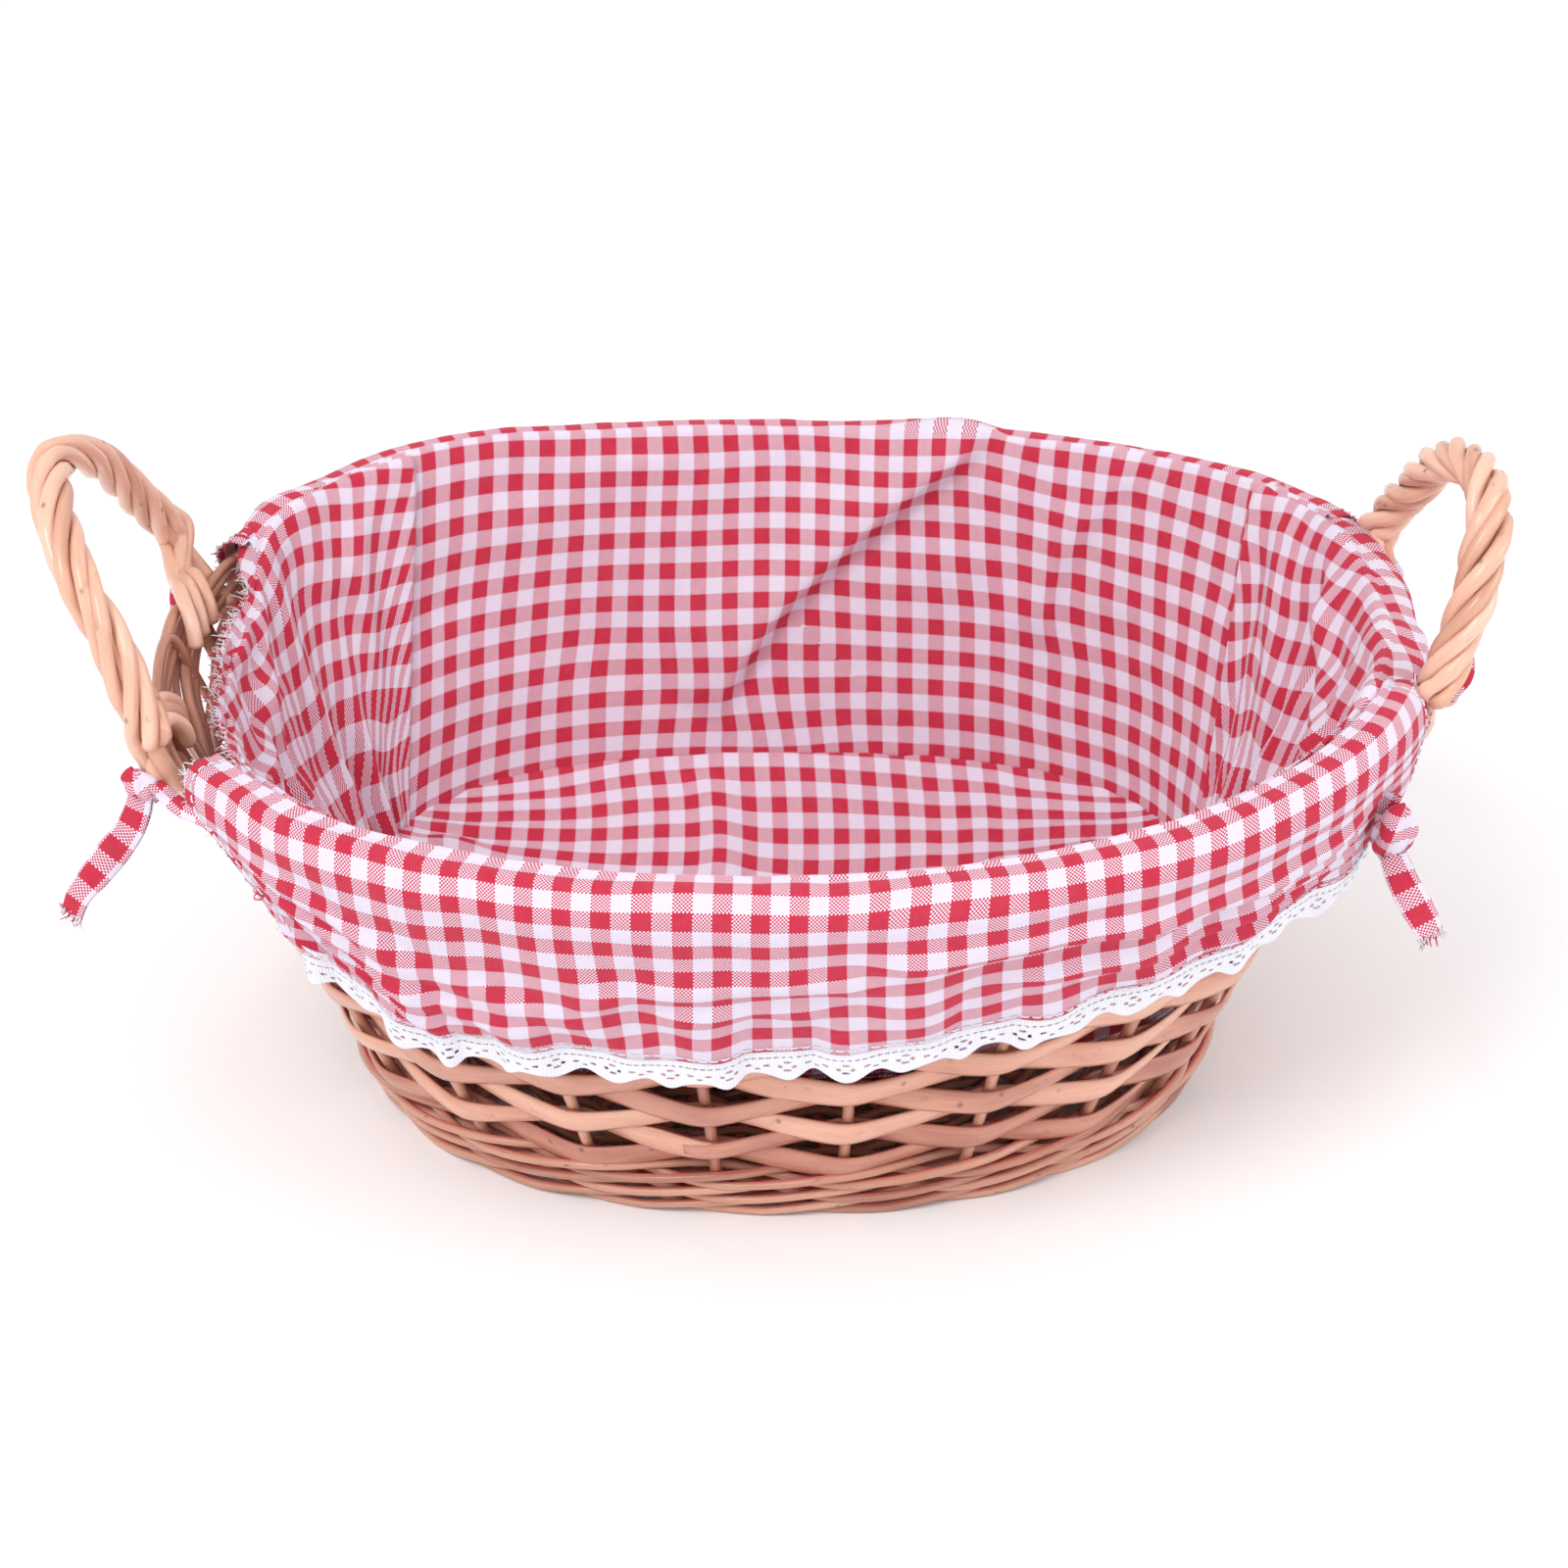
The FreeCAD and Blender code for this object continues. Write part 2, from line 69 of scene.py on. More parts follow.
def length_table(half_length, half_depth):
    """Angles and lengths round a level oval, from the front middle."""
    angles = np.linspace(0.0, math.tau, TABLE_STEPS + 1)
    x, y = unit_oval(angles)
    return angles, running_length(np.stack([half_length * x, half_depth * y], -1))


TURN_ANGLES, TURN_LENGTHS = length_table(0.5 * (FOOT[1] + RIM[1]), 0.5 * (FOOT[2] + RIM[2]))


def angle_at(turn):
    """Angle of a turn round the oval."""
    share = np.mod(np.asarray(turn, float) / STAKES, 1.0)
    return np.interp(share * TURN_LENGTHS[-1], TURN_LENGTHS, TURN_ANGLES)


def half_axes(height):
    share = (height - FOOT[0]) / (RIM[0] - FOOT[0])
    return FOOT[1] + share * (RIM[1] - FOOT[1]), FOOT[2] + share * (RIM[2] - FOOT[2])


def normalised(vectors):
    return vectors / np.linalg.norm(vectors, axis=-1, keepdims=True)


def wall(turn, height):
    """Middle of the wall, the direction up it and the direction square out of it."""
    turn, height = np.broadcast_arrays(np.asarray(turn, float), np.asarray(height, float))
    half_length, half_depth = half_axes(height)
    ux, uy = unit_oval(angle_at(turn))
    point = np.stack([half_length * ux, half_depth * uy, height + 0.0 * ux], -1)
    power = OVAL_POWER - 1.0
    nx = np.sign(ux) * np.abs(ux) ** power / half_length
    ny = np.sign(uy) * np.abs(uy) ** power / half_depth
    outward = normalised(np.stack([nx, ny, 0.0 * nx], -1))
    rise = RIM[0] - FOOT[0]
    up = np.stack([(RIM[1] - FOOT[1]) * ux / rise, (RIM[2] - FOOT[2]) * uy / rise, 1.0 + 0.0 * ux], -1)
    up = normalised(up)
    square = normalised(outward - up * np.sum(outward * up, -1, keepdims=True))
    return point, up, square


def wall_point(turn, height, offset=0.0):
    point, up, square = wall(turn, height)
    return point + square * np.asarray(offset, float)[..., None]


def base_point(turn, reach, height):
    ux, uy = unit_oval(angle_at(turn))
    return np.stack([FOOT[1] * reach * ux, FOOT[2] * reach * uy, height + 0.0 * ux], -1)


# ------------------------------------------------------------------ smooth noise and curves

def wander(count, smooth, size=1.0):
    """A smooth random line of unit size: one value every `smooth` samples, joined by cosines."""
    knots = random.normal(0.0, 1.0, count // smooth + 3)
    place = np.arange(count) / smooth
    low = place.astype(int)
    part = 0.5 - 0.5 * np.cos(math.pi * (place - low))
    return size * (knots[low] * (1.0 - part) + knots[low + 1] * part)


def smooth_field(shape, cells, size):
    """A smooth random field over a grid."""
    knots = random.normal(0.0, 1.0, (cells[0] + 3, cells[1] + 3))

    def ease(count, parts):
        place = np.linspace(0.0, parts, count)
        low = np.minimum(place.astype(int), parts)
        return low, 0.5 - 0.5 * np.cos(math.pi * (place - low))

    row_low, row_part = ease(shape[0], cells[0])
    column_low, column_part = ease(shape[1], cells[1])
    corner = [knots[np.ix_(row_low + i, column_low + j)] for i in (0, 1) for j in (0, 1)]
    part = column_part[None, :]
    upper = corner[0] * (1 - part) + corner[1] * part
    lower = corner[2] * (1 - part) + corner[3] * part
    return size * (upper * (1 - row_part[:, None]) + lower * row_part[:, None])


def between(a, b, c, d, t):
    """Catmull-Rom curve from b to c."""
    return 0.5 * (2 * b + (c - a) * t + (2 * a - 5 * b + 4 * c - d) * t ** 2
                  + (3 * b - a - 3 * c + d) * t ** 3)


def through(keys, counts):
    """Smooth rows through rows of key points, with so many rows in each gap."""
    keys = np.asarray(keys, float)
    padded = np.concatenate([2 * keys[:1] - keys[1:2], keys, 2 * keys[-1:] - keys[-2:-1]])
    rows = []
    for index, count in enumerate(counts):
        rows += [between(*padded[index:index + 4], t) for t in np.linspace(0.0, 1.0, count, endpoint=False)]
    return np.array(rows + [keys[-1]])


def at_lengths(wanted, lengths, line):
    """Places on a line, or values along it, at some lengths."""
    return np.stack([np.interp(wanted, lengths, column) for column in line.T], -1)


def spline(points, samples):
    """Smooth curve through points, evenly spaced along its length."""
    line = through(points, [24] * (len(points) - 1))
    lengths = running_length(line)
    return at_lengths(np.linspace(0.0, lengths[-1], samples), lengths, line)


def periodic(keys, phase):
    """Smooth value through keys one apart that repeat for ever."""
    keys = np.asarray(keys, float)
    low = np.floor(phase).astype(int)
    return between(*(keys[(low + shift) % len(keys)] for shift in (-1, 0, 1, 2)), phase - low)


# ------------------------------------------------------------------ meshes

def new_piece(name, mesh, material, body):
    mesh.shade_smooth()
    mesh.materials.append(material)
    piece = bpy.data.objects.new(name, mesh)
    bpy.context.scene.collection.objects.link(piece)
    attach(piece, body)
    return piece


class Pieces:
    """Vertices, faces, UVs and one tint per face, gathered for one object."""

    def __init__(self):
        self.points = []
        self.faces = []
        self.uvs = []
        self.tints = []
        self.count = 0

    def add(self, points, faces, uvs, tint):
        self.points.append(points)
        self.faces += [[corner + self.count for corner in face] for face in faces]
        self.uvs += uvs
        self.tints += [tint] * len(faces)
        self.count += len(points)

    def make(self, name, material, body, slot, *nodes):
        """Turn what was gathered into an object, in place of some CAD nodes."""
        mesh = bpy.data.meshes.new(name)
        mesh.from_pydata((np.vstack(self.points) * MM).tolist(), [], self.faces)
        mesh.uv_layers.new(name="Along").data.foreach_set("uv", np.array(self.uvs, float).ravel())
        mesh.attributes.new("tint", "FLOAT", "FACE").data.foreach_set("value", self.tints)
        piece = new_piece(name, mesh, material, body)
        if nodes:
            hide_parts(*nodes)


def sweep(pieces, line, across, beside, profile, tint):
    """Sweep a closed profile along a line. profile is (rows, sides, 2) in across, beside."""
    rows = len(line)
    sides = profile.shape[1]
    points = line[:, None] + across[:, None] * profile[..., :1] + beside[:, None] * profile[..., 1:]
    lengths = (running_length(line) + random.uniform(0.0, 4000.0)) * MM
    faces = []
    uvs = []
    for row in range(rows - 1):
        low = lengths[row]
        high = lengths[row + 1]
        for side in range(sides):
            after = (side + 1) % sides
            faces.append([row * sides + side, row * sides + after,
                          (row + 1) * sides + after, (row + 1) * sides + side])
            left = side / sides
            right = (side + 1) / sides
            uvs += [(low, left), (low, right), (high, right), (high, left)]
    first = rows * sides
    last = (rows - 1) * sides
    for side in range(sides):
        after = (side + 1) % sides
        faces.append([after, side, first])
        faces.append([last + side, last + after, first + 1])
        uvs += [(lengths[0], 0.0)] * 3 + [(lengths[-1], 0.0)] * 3
    pieces.add(np.vstack([points.reshape(-1, 3), line[:1], line[-1:]]), faces, uvs, tint)


def path_frames(line):
    """Two directions square to a line that don't spin along it."""
    tangents = normalised(np.gradient(line, axis=0))
    across = np.zeros_like(line)
    current = np.array([0.0, 0.0, 1.0])
    if abs(tangents[0] @ current) > 0.9:
        current = np.array([0.0, 1.0, 0.0])
    for row in range(len(line)):
        current = current - tangents[row] * (current @ tangents[row])
        current = current / np.linalg.norm(current)
        across[row] = current
    return across, np.cross(tangents, across)


def round_rod(pieces, line, radius, sides=8, taper=0.12, bumps=0.03):
    """A willow rod: round, a little uneven, thinner towards its tip."""
    rows = len(line)
    across, beside = path_frames(line)
    angles = np.linspace(0.0, math.tau, sides, endpoint=False)
    size = radius * (1.0 - taper * np.linspace(0.0, 1.0, rows) + bumps * wander(rows, 6))
    size[0] *= 0.8
    size[-1] *= 0.6
    profile = size[:, None, None] * np.stack([np.cos(angles), np.sin(angles)], -1)[None]
    sweep(pieces, line, across, beside, profile, random.uniform(0.0, 1.0))


# ------------------------------------------------------------------ materials

class Shading:
    """One material's nodes: each method adds one node and gives back its output."""

    def __init__(self, name, layer=None):
        self.material = bpy.data.materials.new(name)
        self.material.use_nodes = True
        self.nodes = self.material.node_tree.nodes
        self.links = self.material.node_tree.links
        self.nodes.clear()
        output = self.nodes.new("ShaderNodeOutputMaterial")
        self.shader = self.nodes.new("ShaderNodeBsdfPrincipled")
        self.links.new(self.shader.outputs[0], output.inputs["Surface"])
        if layer:
            measure = self.nodes.new("ShaderNodeUVMap")
            measure.uv_map = layer
            self.uv = measure.outputs[0]

    def put(self, socket, value):
        """Link an output to a socket, or set the socket's own value."""
        if isinstance(value, bpy.types.NodeSocket):
            self.links.new(value, socket)
        elif isinstance(value, tuple) and len(socket.default_value) == 4:
            socket.default_value = (*value, 1.0)
        else:
            socket.default_value = value

    def look(self, **values):
        """Set inputs of the shader, such as Base_Color."""
        for name, value in values.items():
            self.put(self.shader.inputs[name.replace("_", " ")], value)

    def add(self, kind, *values, operation=None, output=0):
        node = self.nodes.new("ShaderNode" + kind)
        if operation:
            node.operation = operation
        for socket, value in zip(node.inputs, values):
            self.put(socket, value)
        return node.outputs[output]

    def math(self, operation, *values):
        return self.add("Math", *values, operation=operation)

    def vector(self, operation, *values):
        return self.add("VectorMath", *values, operation=operation)

    def dot(self, first, second):
        return self.add("VectorMath", first, second, operation="DOT_PRODUCT", output="Value")

    def ramp(self, factor, stops):
        node = self.nodes.new("ShaderNodeValToRGB")
        while len(node.color_ramp.elements) < len(stops):
            node.color_ramp.elements.new(0.5)
        for element, (place, colour) in zip(node.color_ramp.elements, stops):
            element.position = place
            element.color = (*colour, 1.0)
        self.put(node.inputs[0], factor)
        return node.outputs[0]

    def noise(self, stretch, detail=3.0, roughness=0.55):
        """Noise over the UVs stretched by some amounts."""
        node = self.nodes.new("ShaderNodeTexNoise")
        node.inputs["Scale"].default_value = 1.0
        node.inputs["Detail"].default_value = detail
        node.inputs["Roughness"].default_value = roughness
        self.put(node.inputs["Vector"], self.vector("MULTIPLY", self.uv, stretch))
        return node.outputs[0]

    def mix(self, factor, first, second, blend="MIX"):
        node = self.nodes.new("ShaderNodeMix")
        node.data_type = "RGBA"
        node.blend_type = blend
        for index, value in ((0, factor), (6, first), (7, second)):
            self.put(node.inputs[index], value)
        return node.outputs[2]

    def bump(self, height, strength, distance):
        node = self.nodes.new("ShaderNodeBump")
        node.inputs["Strength"].default_value = strength
        node.inputs["Distance"].default_value = distance * MM
        self.put(node.inputs["Height"], height)
        self.look(Normal=node.outputs[0])


BLACK = (0.0, 0.0, 0.0)
FULL = (1.0, 1.0, 1.0)
KNOT_BROWN = (0.10, 0.03, 0.012)
PAINTED_CLOTH_LIGHT_RED = (0.86, 0.20, 0.20)       # painted red light: willow facing the cloth is tinted as if lit by light bounced off it
PAINTED_CLOTH_LIGHT_SHARE = 0.7
INNER_CENTRE = (0.0, 0.0, 0.062)
INNER_SHAPE = (1.0 / 0.175, 1.0 / 0.115, 1.0 / 0.060)


def painted_cloth_light_mask(tree):
    """How much painted red light a face gets, as if bounced off the cloth: it looks in towards the middle of
    the basket, below its border.
    """
    place = tree.nodes.new("ShaderNodeNewGeometry")
    out = tree.vector("SUBTRACT", place.outputs["Position"], INNER_CENTRE)
    out = tree.vector("NORMALIZE", tree.vector("MULTIPLY", out, INNER_SHAPE))
    facing = tree.dot(out, place.outputs["Normal"])
    inward = tree.add("Clamp", tree.math("MULTIPLY_ADD", facing, -2.6, -0.75))
    height = tree.dot(place.outputs["Position"], (0.0, 0.0, 1.0))
    below = tree.add("Clamp", tree.math("MULTIPLY_ADD", height, -120.0, 15.3))
    return tree.math("MULTIPLY", tree.math("MULTIPLY", inward, below), PAINTED_CLOTH_LIGHT_SHARE)


def willow_material(name, pale, warm, dark, roughness):
    """Varnished willow: long streaks, fine fibres, small dark knots, a tint for each rod, and painted red light
    on faces turned in towards the cloth.
    """
    tree = Shading(name, "Along")
    tint = tree.nodes.new("ShaderNodeAttribute")
    tint.attribute_name = "tint"
    fibres = tree.noise((90.0, 26.0, 1.0), 4.0, 0.7)
    streaks = tree.math("MULTIPLY_ADD", tree.noise((30.0, 3.0, 1.0)), 0.9, -0.2)
    shade = tree.math("MULTIPLY_ADD", tint.outputs["Fac"], 0.5, streaks)
    colour = tree.ramp(shade, [(0.1, pale), (0.5, warm), (0.95, dark)])
    colour = tree.mix(0.55, colour, tree.math("MULTIPLY_ADD", fibres, 0.55, 0.72), "MULTIPLY")
    stain = tree.ramp(tree.noise((160.0, 4.0, 1.0)), [(0.62, BLACK), (0.78, FULL)])
    colour = tree.mix(tree.math("MULTIPLY", stain, 0.42), colour, tuple(0.45 * value for value in dark))
    spots = tree.nodes.new("ShaderNodeTexVoronoi")
    spots.inputs["Scale"].default_value = 1.0
    tree.put(spots.inputs["Vector"], tree.vector("MULTIPLY", tree.uv, (110.0, 2.0, 1.0)))
    spot = tree.math("MULTIPLY", tree.ramp(spots.outputs["Distance"], [(0.05, FULL), (0.13, BLACK)]), 0.6)
    colour = tree.mix(spot, colour, KNOT_BROWN)
    # painted red light: willow facing in below the border is tinted as if lit by the red cloth
    colour = tree.mix(painted_cloth_light_mask(tree), colour, PAINTED_CLOTH_LIGHT_RED)
    tree.look(Base_Color=colour, Roughness=tree.math("MULTIPLY_ADD", fibres, 0.25, roughness),
              Coat_Weight=0.6, Coat_Roughness=0.16)
    tree.bump(tree.math("ADD", fibres, spot), 0.5, 0.4)
    return tree.material


CHECK = 5.0          # side of one square of the gingham
THREAD = 0.5         # spacing of its threads


def gingham_material(name, red, white):
    """Plain weave of red and white threads: each square's colour comes from its own threads, with painted shade
    in the gaps between them.
    """
    tree = Shading(name, "Cloth")
    parts = tree.nodes.new("ShaderNodeSeparateXYZ")
    tree.put(parts.inputs[0], tree.uv)
    ways = parts.outputs[:2]         # along the warp and along the weft
    places = [tree.math("FRACT", tree.math("DIVIDE", way, 2.0 * CHECK * MM)) for way in ways]
    warp_red, weft_red = [tree.math("GREATER_THAN", place, 0.5) for place in places]
    steps = [tree.math("DIVIDE", way, THREAD * MM) for way in ways]
    cells = tree.math("ADD", *[tree.math("FLOOR", step) for step in steps])
    warp_on_top = tree.math("GREATER_THAN", tree.math("FRACT", tree.math("MULTIPLY", cells, 0.5)), 0.25)
    top_red = tree.mix(warp_on_top, weft_red, warp_red)
    slub = tree.noise((2000.0, 180.0, 1.0), 2.0)
    red_colour = tree.mix(slub, tuple(0.72 * value for value in red), red)
    white_colour = tree.mix(slub, tuple(0.90 * value for value in white), white)
    colour = tree.mix(top_red, white_colour, red_colour)
    colour = tree.mix(tree.math("MULTIPLY", tree.noise((220.0, 220.0, 1.0)), 0.05), colour, white)
    waves = [tree.math("COSINE", tree.math("MULTIPLY", step, math.tau)) for step in steps]
    # painted shade: the colour darkens in the gaps between the threads
    edge = tree.math("MULTIPLY_ADD", tree.math("MULTIPLY", *waves), 0.12, 0.88)
    tree.look(Base_Color=tree.mix(1.0, colour, edge, "MULTIPLY"), Roughness=0.9, Sheen_Weight=0.04)
    tree.bump(tree.mix(warp_on_top, waves[1], waves[0]), 0.35, 0.12)
    return tree.material


def cotton_material(name, colour, thread, layer):
    """Cotton of one colour: fine crossing threads."""
    tree = Shading(name, layer)
    rows = tree.nodes.new("ShaderNodeTexWave")
    rows.inputs["Scale"].default_value = 1.0 / (thread * MM) / 6.0
    rows.inputs["Distortion"].default_value = 1.5
    tree.put(rows.inputs["Vector"], tree.uv)
    fuzz = tree.noise((900.0, 900.0, 1.0))
    shade = tree.math("MULTIPLY", fuzz, rows.outputs["Fac"])
    tree.look(Base_Color=tree.mix(shade, tuple(0.86 * value for value in colour), colour),
              Roughness=0.9, Sheen_Weight=0.2)
    tree.bump(tree.math("ADD", rows.outputs["Fac"], fuzz), 0.6, 0.2)
    return tree.material


RED = (0.66, 0.005, 0.045)
WHITE = (0.84, 0.76, 0.89)
split_willow = willow_material("split_willow", (0.82, 0.46, 0.33), (0.66, 0.30, 0.20), (0.36, 0.11, 0.075),
                               0.22)
rod_willow = willow_material("rod_willow", (0.70, 0.37, 0.25), (0.52, 0.225, 0.145), (0.27, 0.08, 0.05), 0.26)
handle_willow = willow_material("handle_willow", (0.86, 0.55, 0.42), (0.74, 0.41, 0.28), (0.46, 0.19, 0.11),
                                0.32)
base_willow = willow_material("base_willow", (0.58, 0.32, 0.16), (0.48, 0.24, 0.11), (0.33, 0.14, 0.06), 0.45)
gingham = gingham_material("gingham", RED, WHITE)
lace_cotton = cotton_material("lace_cotton", (0.86, 0.86, 0.93), 0.5, "Cloth")
white_thread = cotton_material("white_thread", (0.88, 0.84, 0.90), 0.3, "Along")
red_thread = cotton_material("red_thread", RED, 0.3, "Along")


# ------------------------------------------------------------------ woven basket

STAKE_RADIUS = 1.5
STRIP_WIDTH = 9.7
STRIP_THICKNESS = 1.9
STRIP_FIRST = 22.6
STRIP_PITCH = 8.4
STRIP_ROWS = 10
STRIP_SWING = 1.5            # a strip dips where it passes outside a stake
SAMPLES_PER_STAKE = 16
KINK = 0.965                 # near 1 the weavers bend sharply at the stakes
COMPANIONS = ((-0.085, 3.3, 1.5), (0.33, 1.2, 1.55))     # turn past the stake, drop below it, radius
FOOT_WALES = ((3.6, 9.2), (9.7, 11.4), (15.9, 8.3))      # height, turn where the rods start
BASE_ROUNDS = 17
SPOKE_HEIGHT = 4.3


def weave(turn, row):
    """One outside a stake, minus one inside the next, nearly straight between; rows take turns."""
    return np.arcsin(KINK * np.cos(math.pi * (turn - 0.5 + row))) / math.asin(KINK)


def strip_profile(rows, width, thickness):
    """Split willow: flat towards the pith, gently round on the bark side."""
    side = np.array([-0.5, -0.49, -0.30, 0.0, 0.30, 0.49, 0.5, 0.25, -0.25])
    face = np.array([-0.40, 0.05, 0.40, 0.5, 0.40, 0.05, -0.40, -0.5, -0.5])
    return np.stack([width[:, None] * side, thickness[:, None] * face], -1)


def add_strip(pieces, row, first, length):
    """One length of split willow, its two ends tucked inside the basket."""
    rows = int(length * SAMPLES_PER_STAKE) + 1
    turn = np.linspace(first, first + length, rows)
    over = weave(turn, row)
    height = STRIP_FIRST + row * STRIP_PITCH - STRIP_SWING * over + wander(rows, 14, 0.4)
    point, up, square = wall(turn, height)
    reach = STAKE_RADIUS + 0.5 * STRIP_THICKNESS + 0.55
    line = point + square * (reach * over + wander(rows, 9, 0.18))[:, None]
    lean = np.radians(7.0 * np.sin(math.pi * (turn - 0.5 + row)) + wander(rows, 10, 3.0))[:, None]
    across = up * np.cos(lean) + square * np.sin(lean)
    beside = square * np.cos(lean) - up * np.sin(lean)
    width = STRIP_WIDTH * (0.92 + 0.06 * over + wander(rows, 18, 0.05))
    ends = np.clip(np.minimum(np.arange(rows), rows - 1 - np.arange(rows)) / 9.0, 0.0, 1.0)
    thickness = STRIP_THICKNESS * (0.95 + wander(rows, 12, 0.05))
    profile = strip_profile(rows, width * (0.55 + 0.45 * ends), thickness)
    sweep(pieces, line, across, beside, profile, random.uniform(0.0, 1.0))


def make_strips():
    """Each row is two lengths of strip that overlap a little where they meet."""
    for row in range(STRIP_ROWS):
        pieces = Pieces()
        start = 1.3 + (7 * row) % STAKES + (row % 2)
        for half in range(2):
            add_strip(pieces, row, start + half * STAKES / 2, STAKES / 2 + 0.4)
        name = "strip_%02d" % (row + 1)
        pieces.make("willow_" + name, split_willow, "basket", "split_willow", name)


def rim_height(turn):
    """Height of the border; it dips a little in the middle of the front."""
    return RIM[0] - 2.6 * np.maximum(np.cos(angle_at(turn)), 0.0)


def border_keys(turn, low):
    """A rod bent over at the border, past the outside of one stake and the inside of the next."""
    rim = float(rim_height(turn)) - low
    return [wall_point(turn + past, rim - drop, offset) for past, drop, offset in (
        (0.01, 2.4, 0.0), (0.13, -0.2, 0.9), (0.5, 3.6, 2.3), (1.0, 9.0, 3.9), (1.5, 13.5, 0.4),
        (2.0, 18.0, -3.7), (2.36, 20.4, -3.6))]


def stake_line(index):
    """Base spoke, side stake and border rod in one length of willow."""
    turn = index + 0.5
    keys = [base_point(turn, reach, SPOKE_HEIGHT) for reach in (0.40, 0.62, 0.86)]
    keys += [wall_point(turn, 7.0, -1.0)]
    keys += [wall_point(turn + wobble, height) for height, wobble in
             ((14.0, 0.0), (40.0, 0.006), (70.0, -0.008), (100.0, 0.004), (124.0, 0.0))]
    return spline(keys + border_keys(turn, 0.0), 120)


def companion_line(index, shift, low):
    """A second rod pushed in beside a stake, bent over below it to thicken the border."""
    turn = index + 0.5 + shift
    keys = [wall_point(turn, height, offset) for height, offset in ((97.0, -0.6), (110.0, 0.2), (122.0, 0.2))]
    return spline(keys + border_keys(turn, low), 90)


def make_stakes():
    for index in range(STAKES):
        pieces = Pieces()
        round_rod(pieces, stake_line(index), 1.62, sides=9, taper=-0.12)
        for shift, low, radius in COMPANIONS:
            round_rod(pieces, companion_line(index, shift, low), radius, taper=0.05)
        name = "stake_%02d" % (index + 1)
        pieces.make("willow_" + name, rod_willow, "basket", "stake_willow", name)


def add_wale(pieces, height, start, radius, spread, lift):
    """Three rods that each pass outside two stakes and inside one, twisting past each other."""
    rows = STAKES * 9 + 1
    for rod in range(3):
        turn = np.linspace(start, start + STAKES, rows)
        phase = turn - 0.5 + rod
        offset = periodic([spread, spread, -spread], phase)
        level = height + periodic([-lift, lift, 0.0], phase) + wander(rows, 16, 0.25)
        line = wall_point(turn, level, offset + wander(rows, 11, 0.2))
        line[:, 2] = np.maximum(line[:, 2], radius * 1.06)
        round_rod(pieces, line, radius, taper=0.05, bumps=0.05)


def make_wales():
    pieces = Pieces()
    for level, start in FOOT_WALES:
        add_wale(pieces, level, start, 1.38, 3.15, 1.95)
    pieces.make("willow_lower_wale", rod_willow, "basket", "rod_willow", "foot_wale", "lower_wale")
    pieces = Pieces()
    add_wale(pieces, 106.6, 10.6, 1.35, 3.1, 1.9)
    pieces.make("willow_upper_wale", rod_willow, "basket", "rod_willow", "upper_wale")


def make_base_weave():
    """Rounds of thin rod woven over and under the spokes."""
    pieces = Pieces()
    rows = STAKES * 7 + 1
    for row in range(BASE_ROUNDS):
        reach = 0.36 + 0.58 * row / (BASE_ROUNDS - 1)
        start = random.uniform(0.0, STAKES)
        turn = np.linspace(start, start + STAKES, rows)
        height = SPOKE_HEIGHT + 2.75 * weave(turn, row) + wander(rows, 9, 0.12)
        line = base_point(turn, reach + wander(rows, 12, 0.002), height)
        round_rod(pieces, line, 1.25, sides=7, taper=0.04, bumps=0.04)
    pieces.make("willow_base_weave", base_willow, "basket", "base_willow", "base_weave")


def make_sticks(node, count, length, width, thickness, pitch, low, along, across):
    """The flat sticks in the middle of the base, side by side along one axis."""
    rows = 24
    pieces = Pieces()
    for index in range(count):
        place = (index - 0.5 * (count - 1)) * pitch
        line = np.full((rows, 3), low + 0.5 * thickness)
        line[:, along] = np.linspace(-0.5 * length, 0.5 * length, rows)
        line[:, across] = place
        profile = strip_profile(rows, width * (1.0 + wander(rows, 5, 0.03)), np.full(rows, thickness))
        axes = np.eye(3)
        sweep(pieces, line, np.tile(axes[across], (rows, 1)), np.tile(axes[2], (rows, 1)), profile,
              random.uniform(0.0, 1.0))
    pieces.make("willow_" + node, base_willow, "basket", "base_willow", node)


make_base_weave()
make_sticks("base_long_sticks", 3, 84.0, 5.0, 2.6, 8.0, 0.0, 0, 1)
make_sticks("base_cross_sticks", 5, 60.0, 4.6, 2.4, 12.0, 2.8, 1, 0)
make_stakes()
make_wales()
make_strips()


# ------------------------------------------------------------------ handles

LEFT_ARCH = [(-168, -66.5, 150), (-175.5, -61.5, 171), (-187, -47, 189), (-197, -16, 199),
             (-193, 14, 188), (-187.5, 36, 166), (-181, 48.5, 148)]
RIGHT_ARCH = [(181, -43.5, 150), (187, -40, 168), (192, -28, 187), (192, -8, 192),
              (187, 15, 184), (183, 34, 166), (178.5, 47.5, 150)]
CORE_RADIUS = 2.5
WRAP_RODS = 5
WRAP_RADIUS = 2.35
WRAP_DISTANCE = 3.9


def leg_points(turn, heights):
    """The core of a handle goes down through the border and leans in."""
    return [wall_point(turn, height, 8.2 - 0.5 * (138.0 - height)) for height in heights]


def foot_keys(turn, side, rod):
    """Where a rod of a handle goes below the rope, tip first: outside the border, or over it and inside."""
    fan = side * (0.05 + 0.11 * rod)
    if rod < 2:
        return [wall_point(turn + 1.3 * fan, 122.0 + 2.0 * rod, 2.6), wall_point(turn + fan, 128.5, 6.4),
                wall_point(turn + 0.5 * fan, 135.5, 8.6)]
    return [wall_point(turn + 1.5 * fan, 127.0, -3.4), wall_point(turn + 1.35 * fan, 133.5, -4.4),
            wall_point(turn + 1.05 * fan, 139.3, -2.0), wall_point(turn + 0.6 * fan, 141.0, 4.4)]


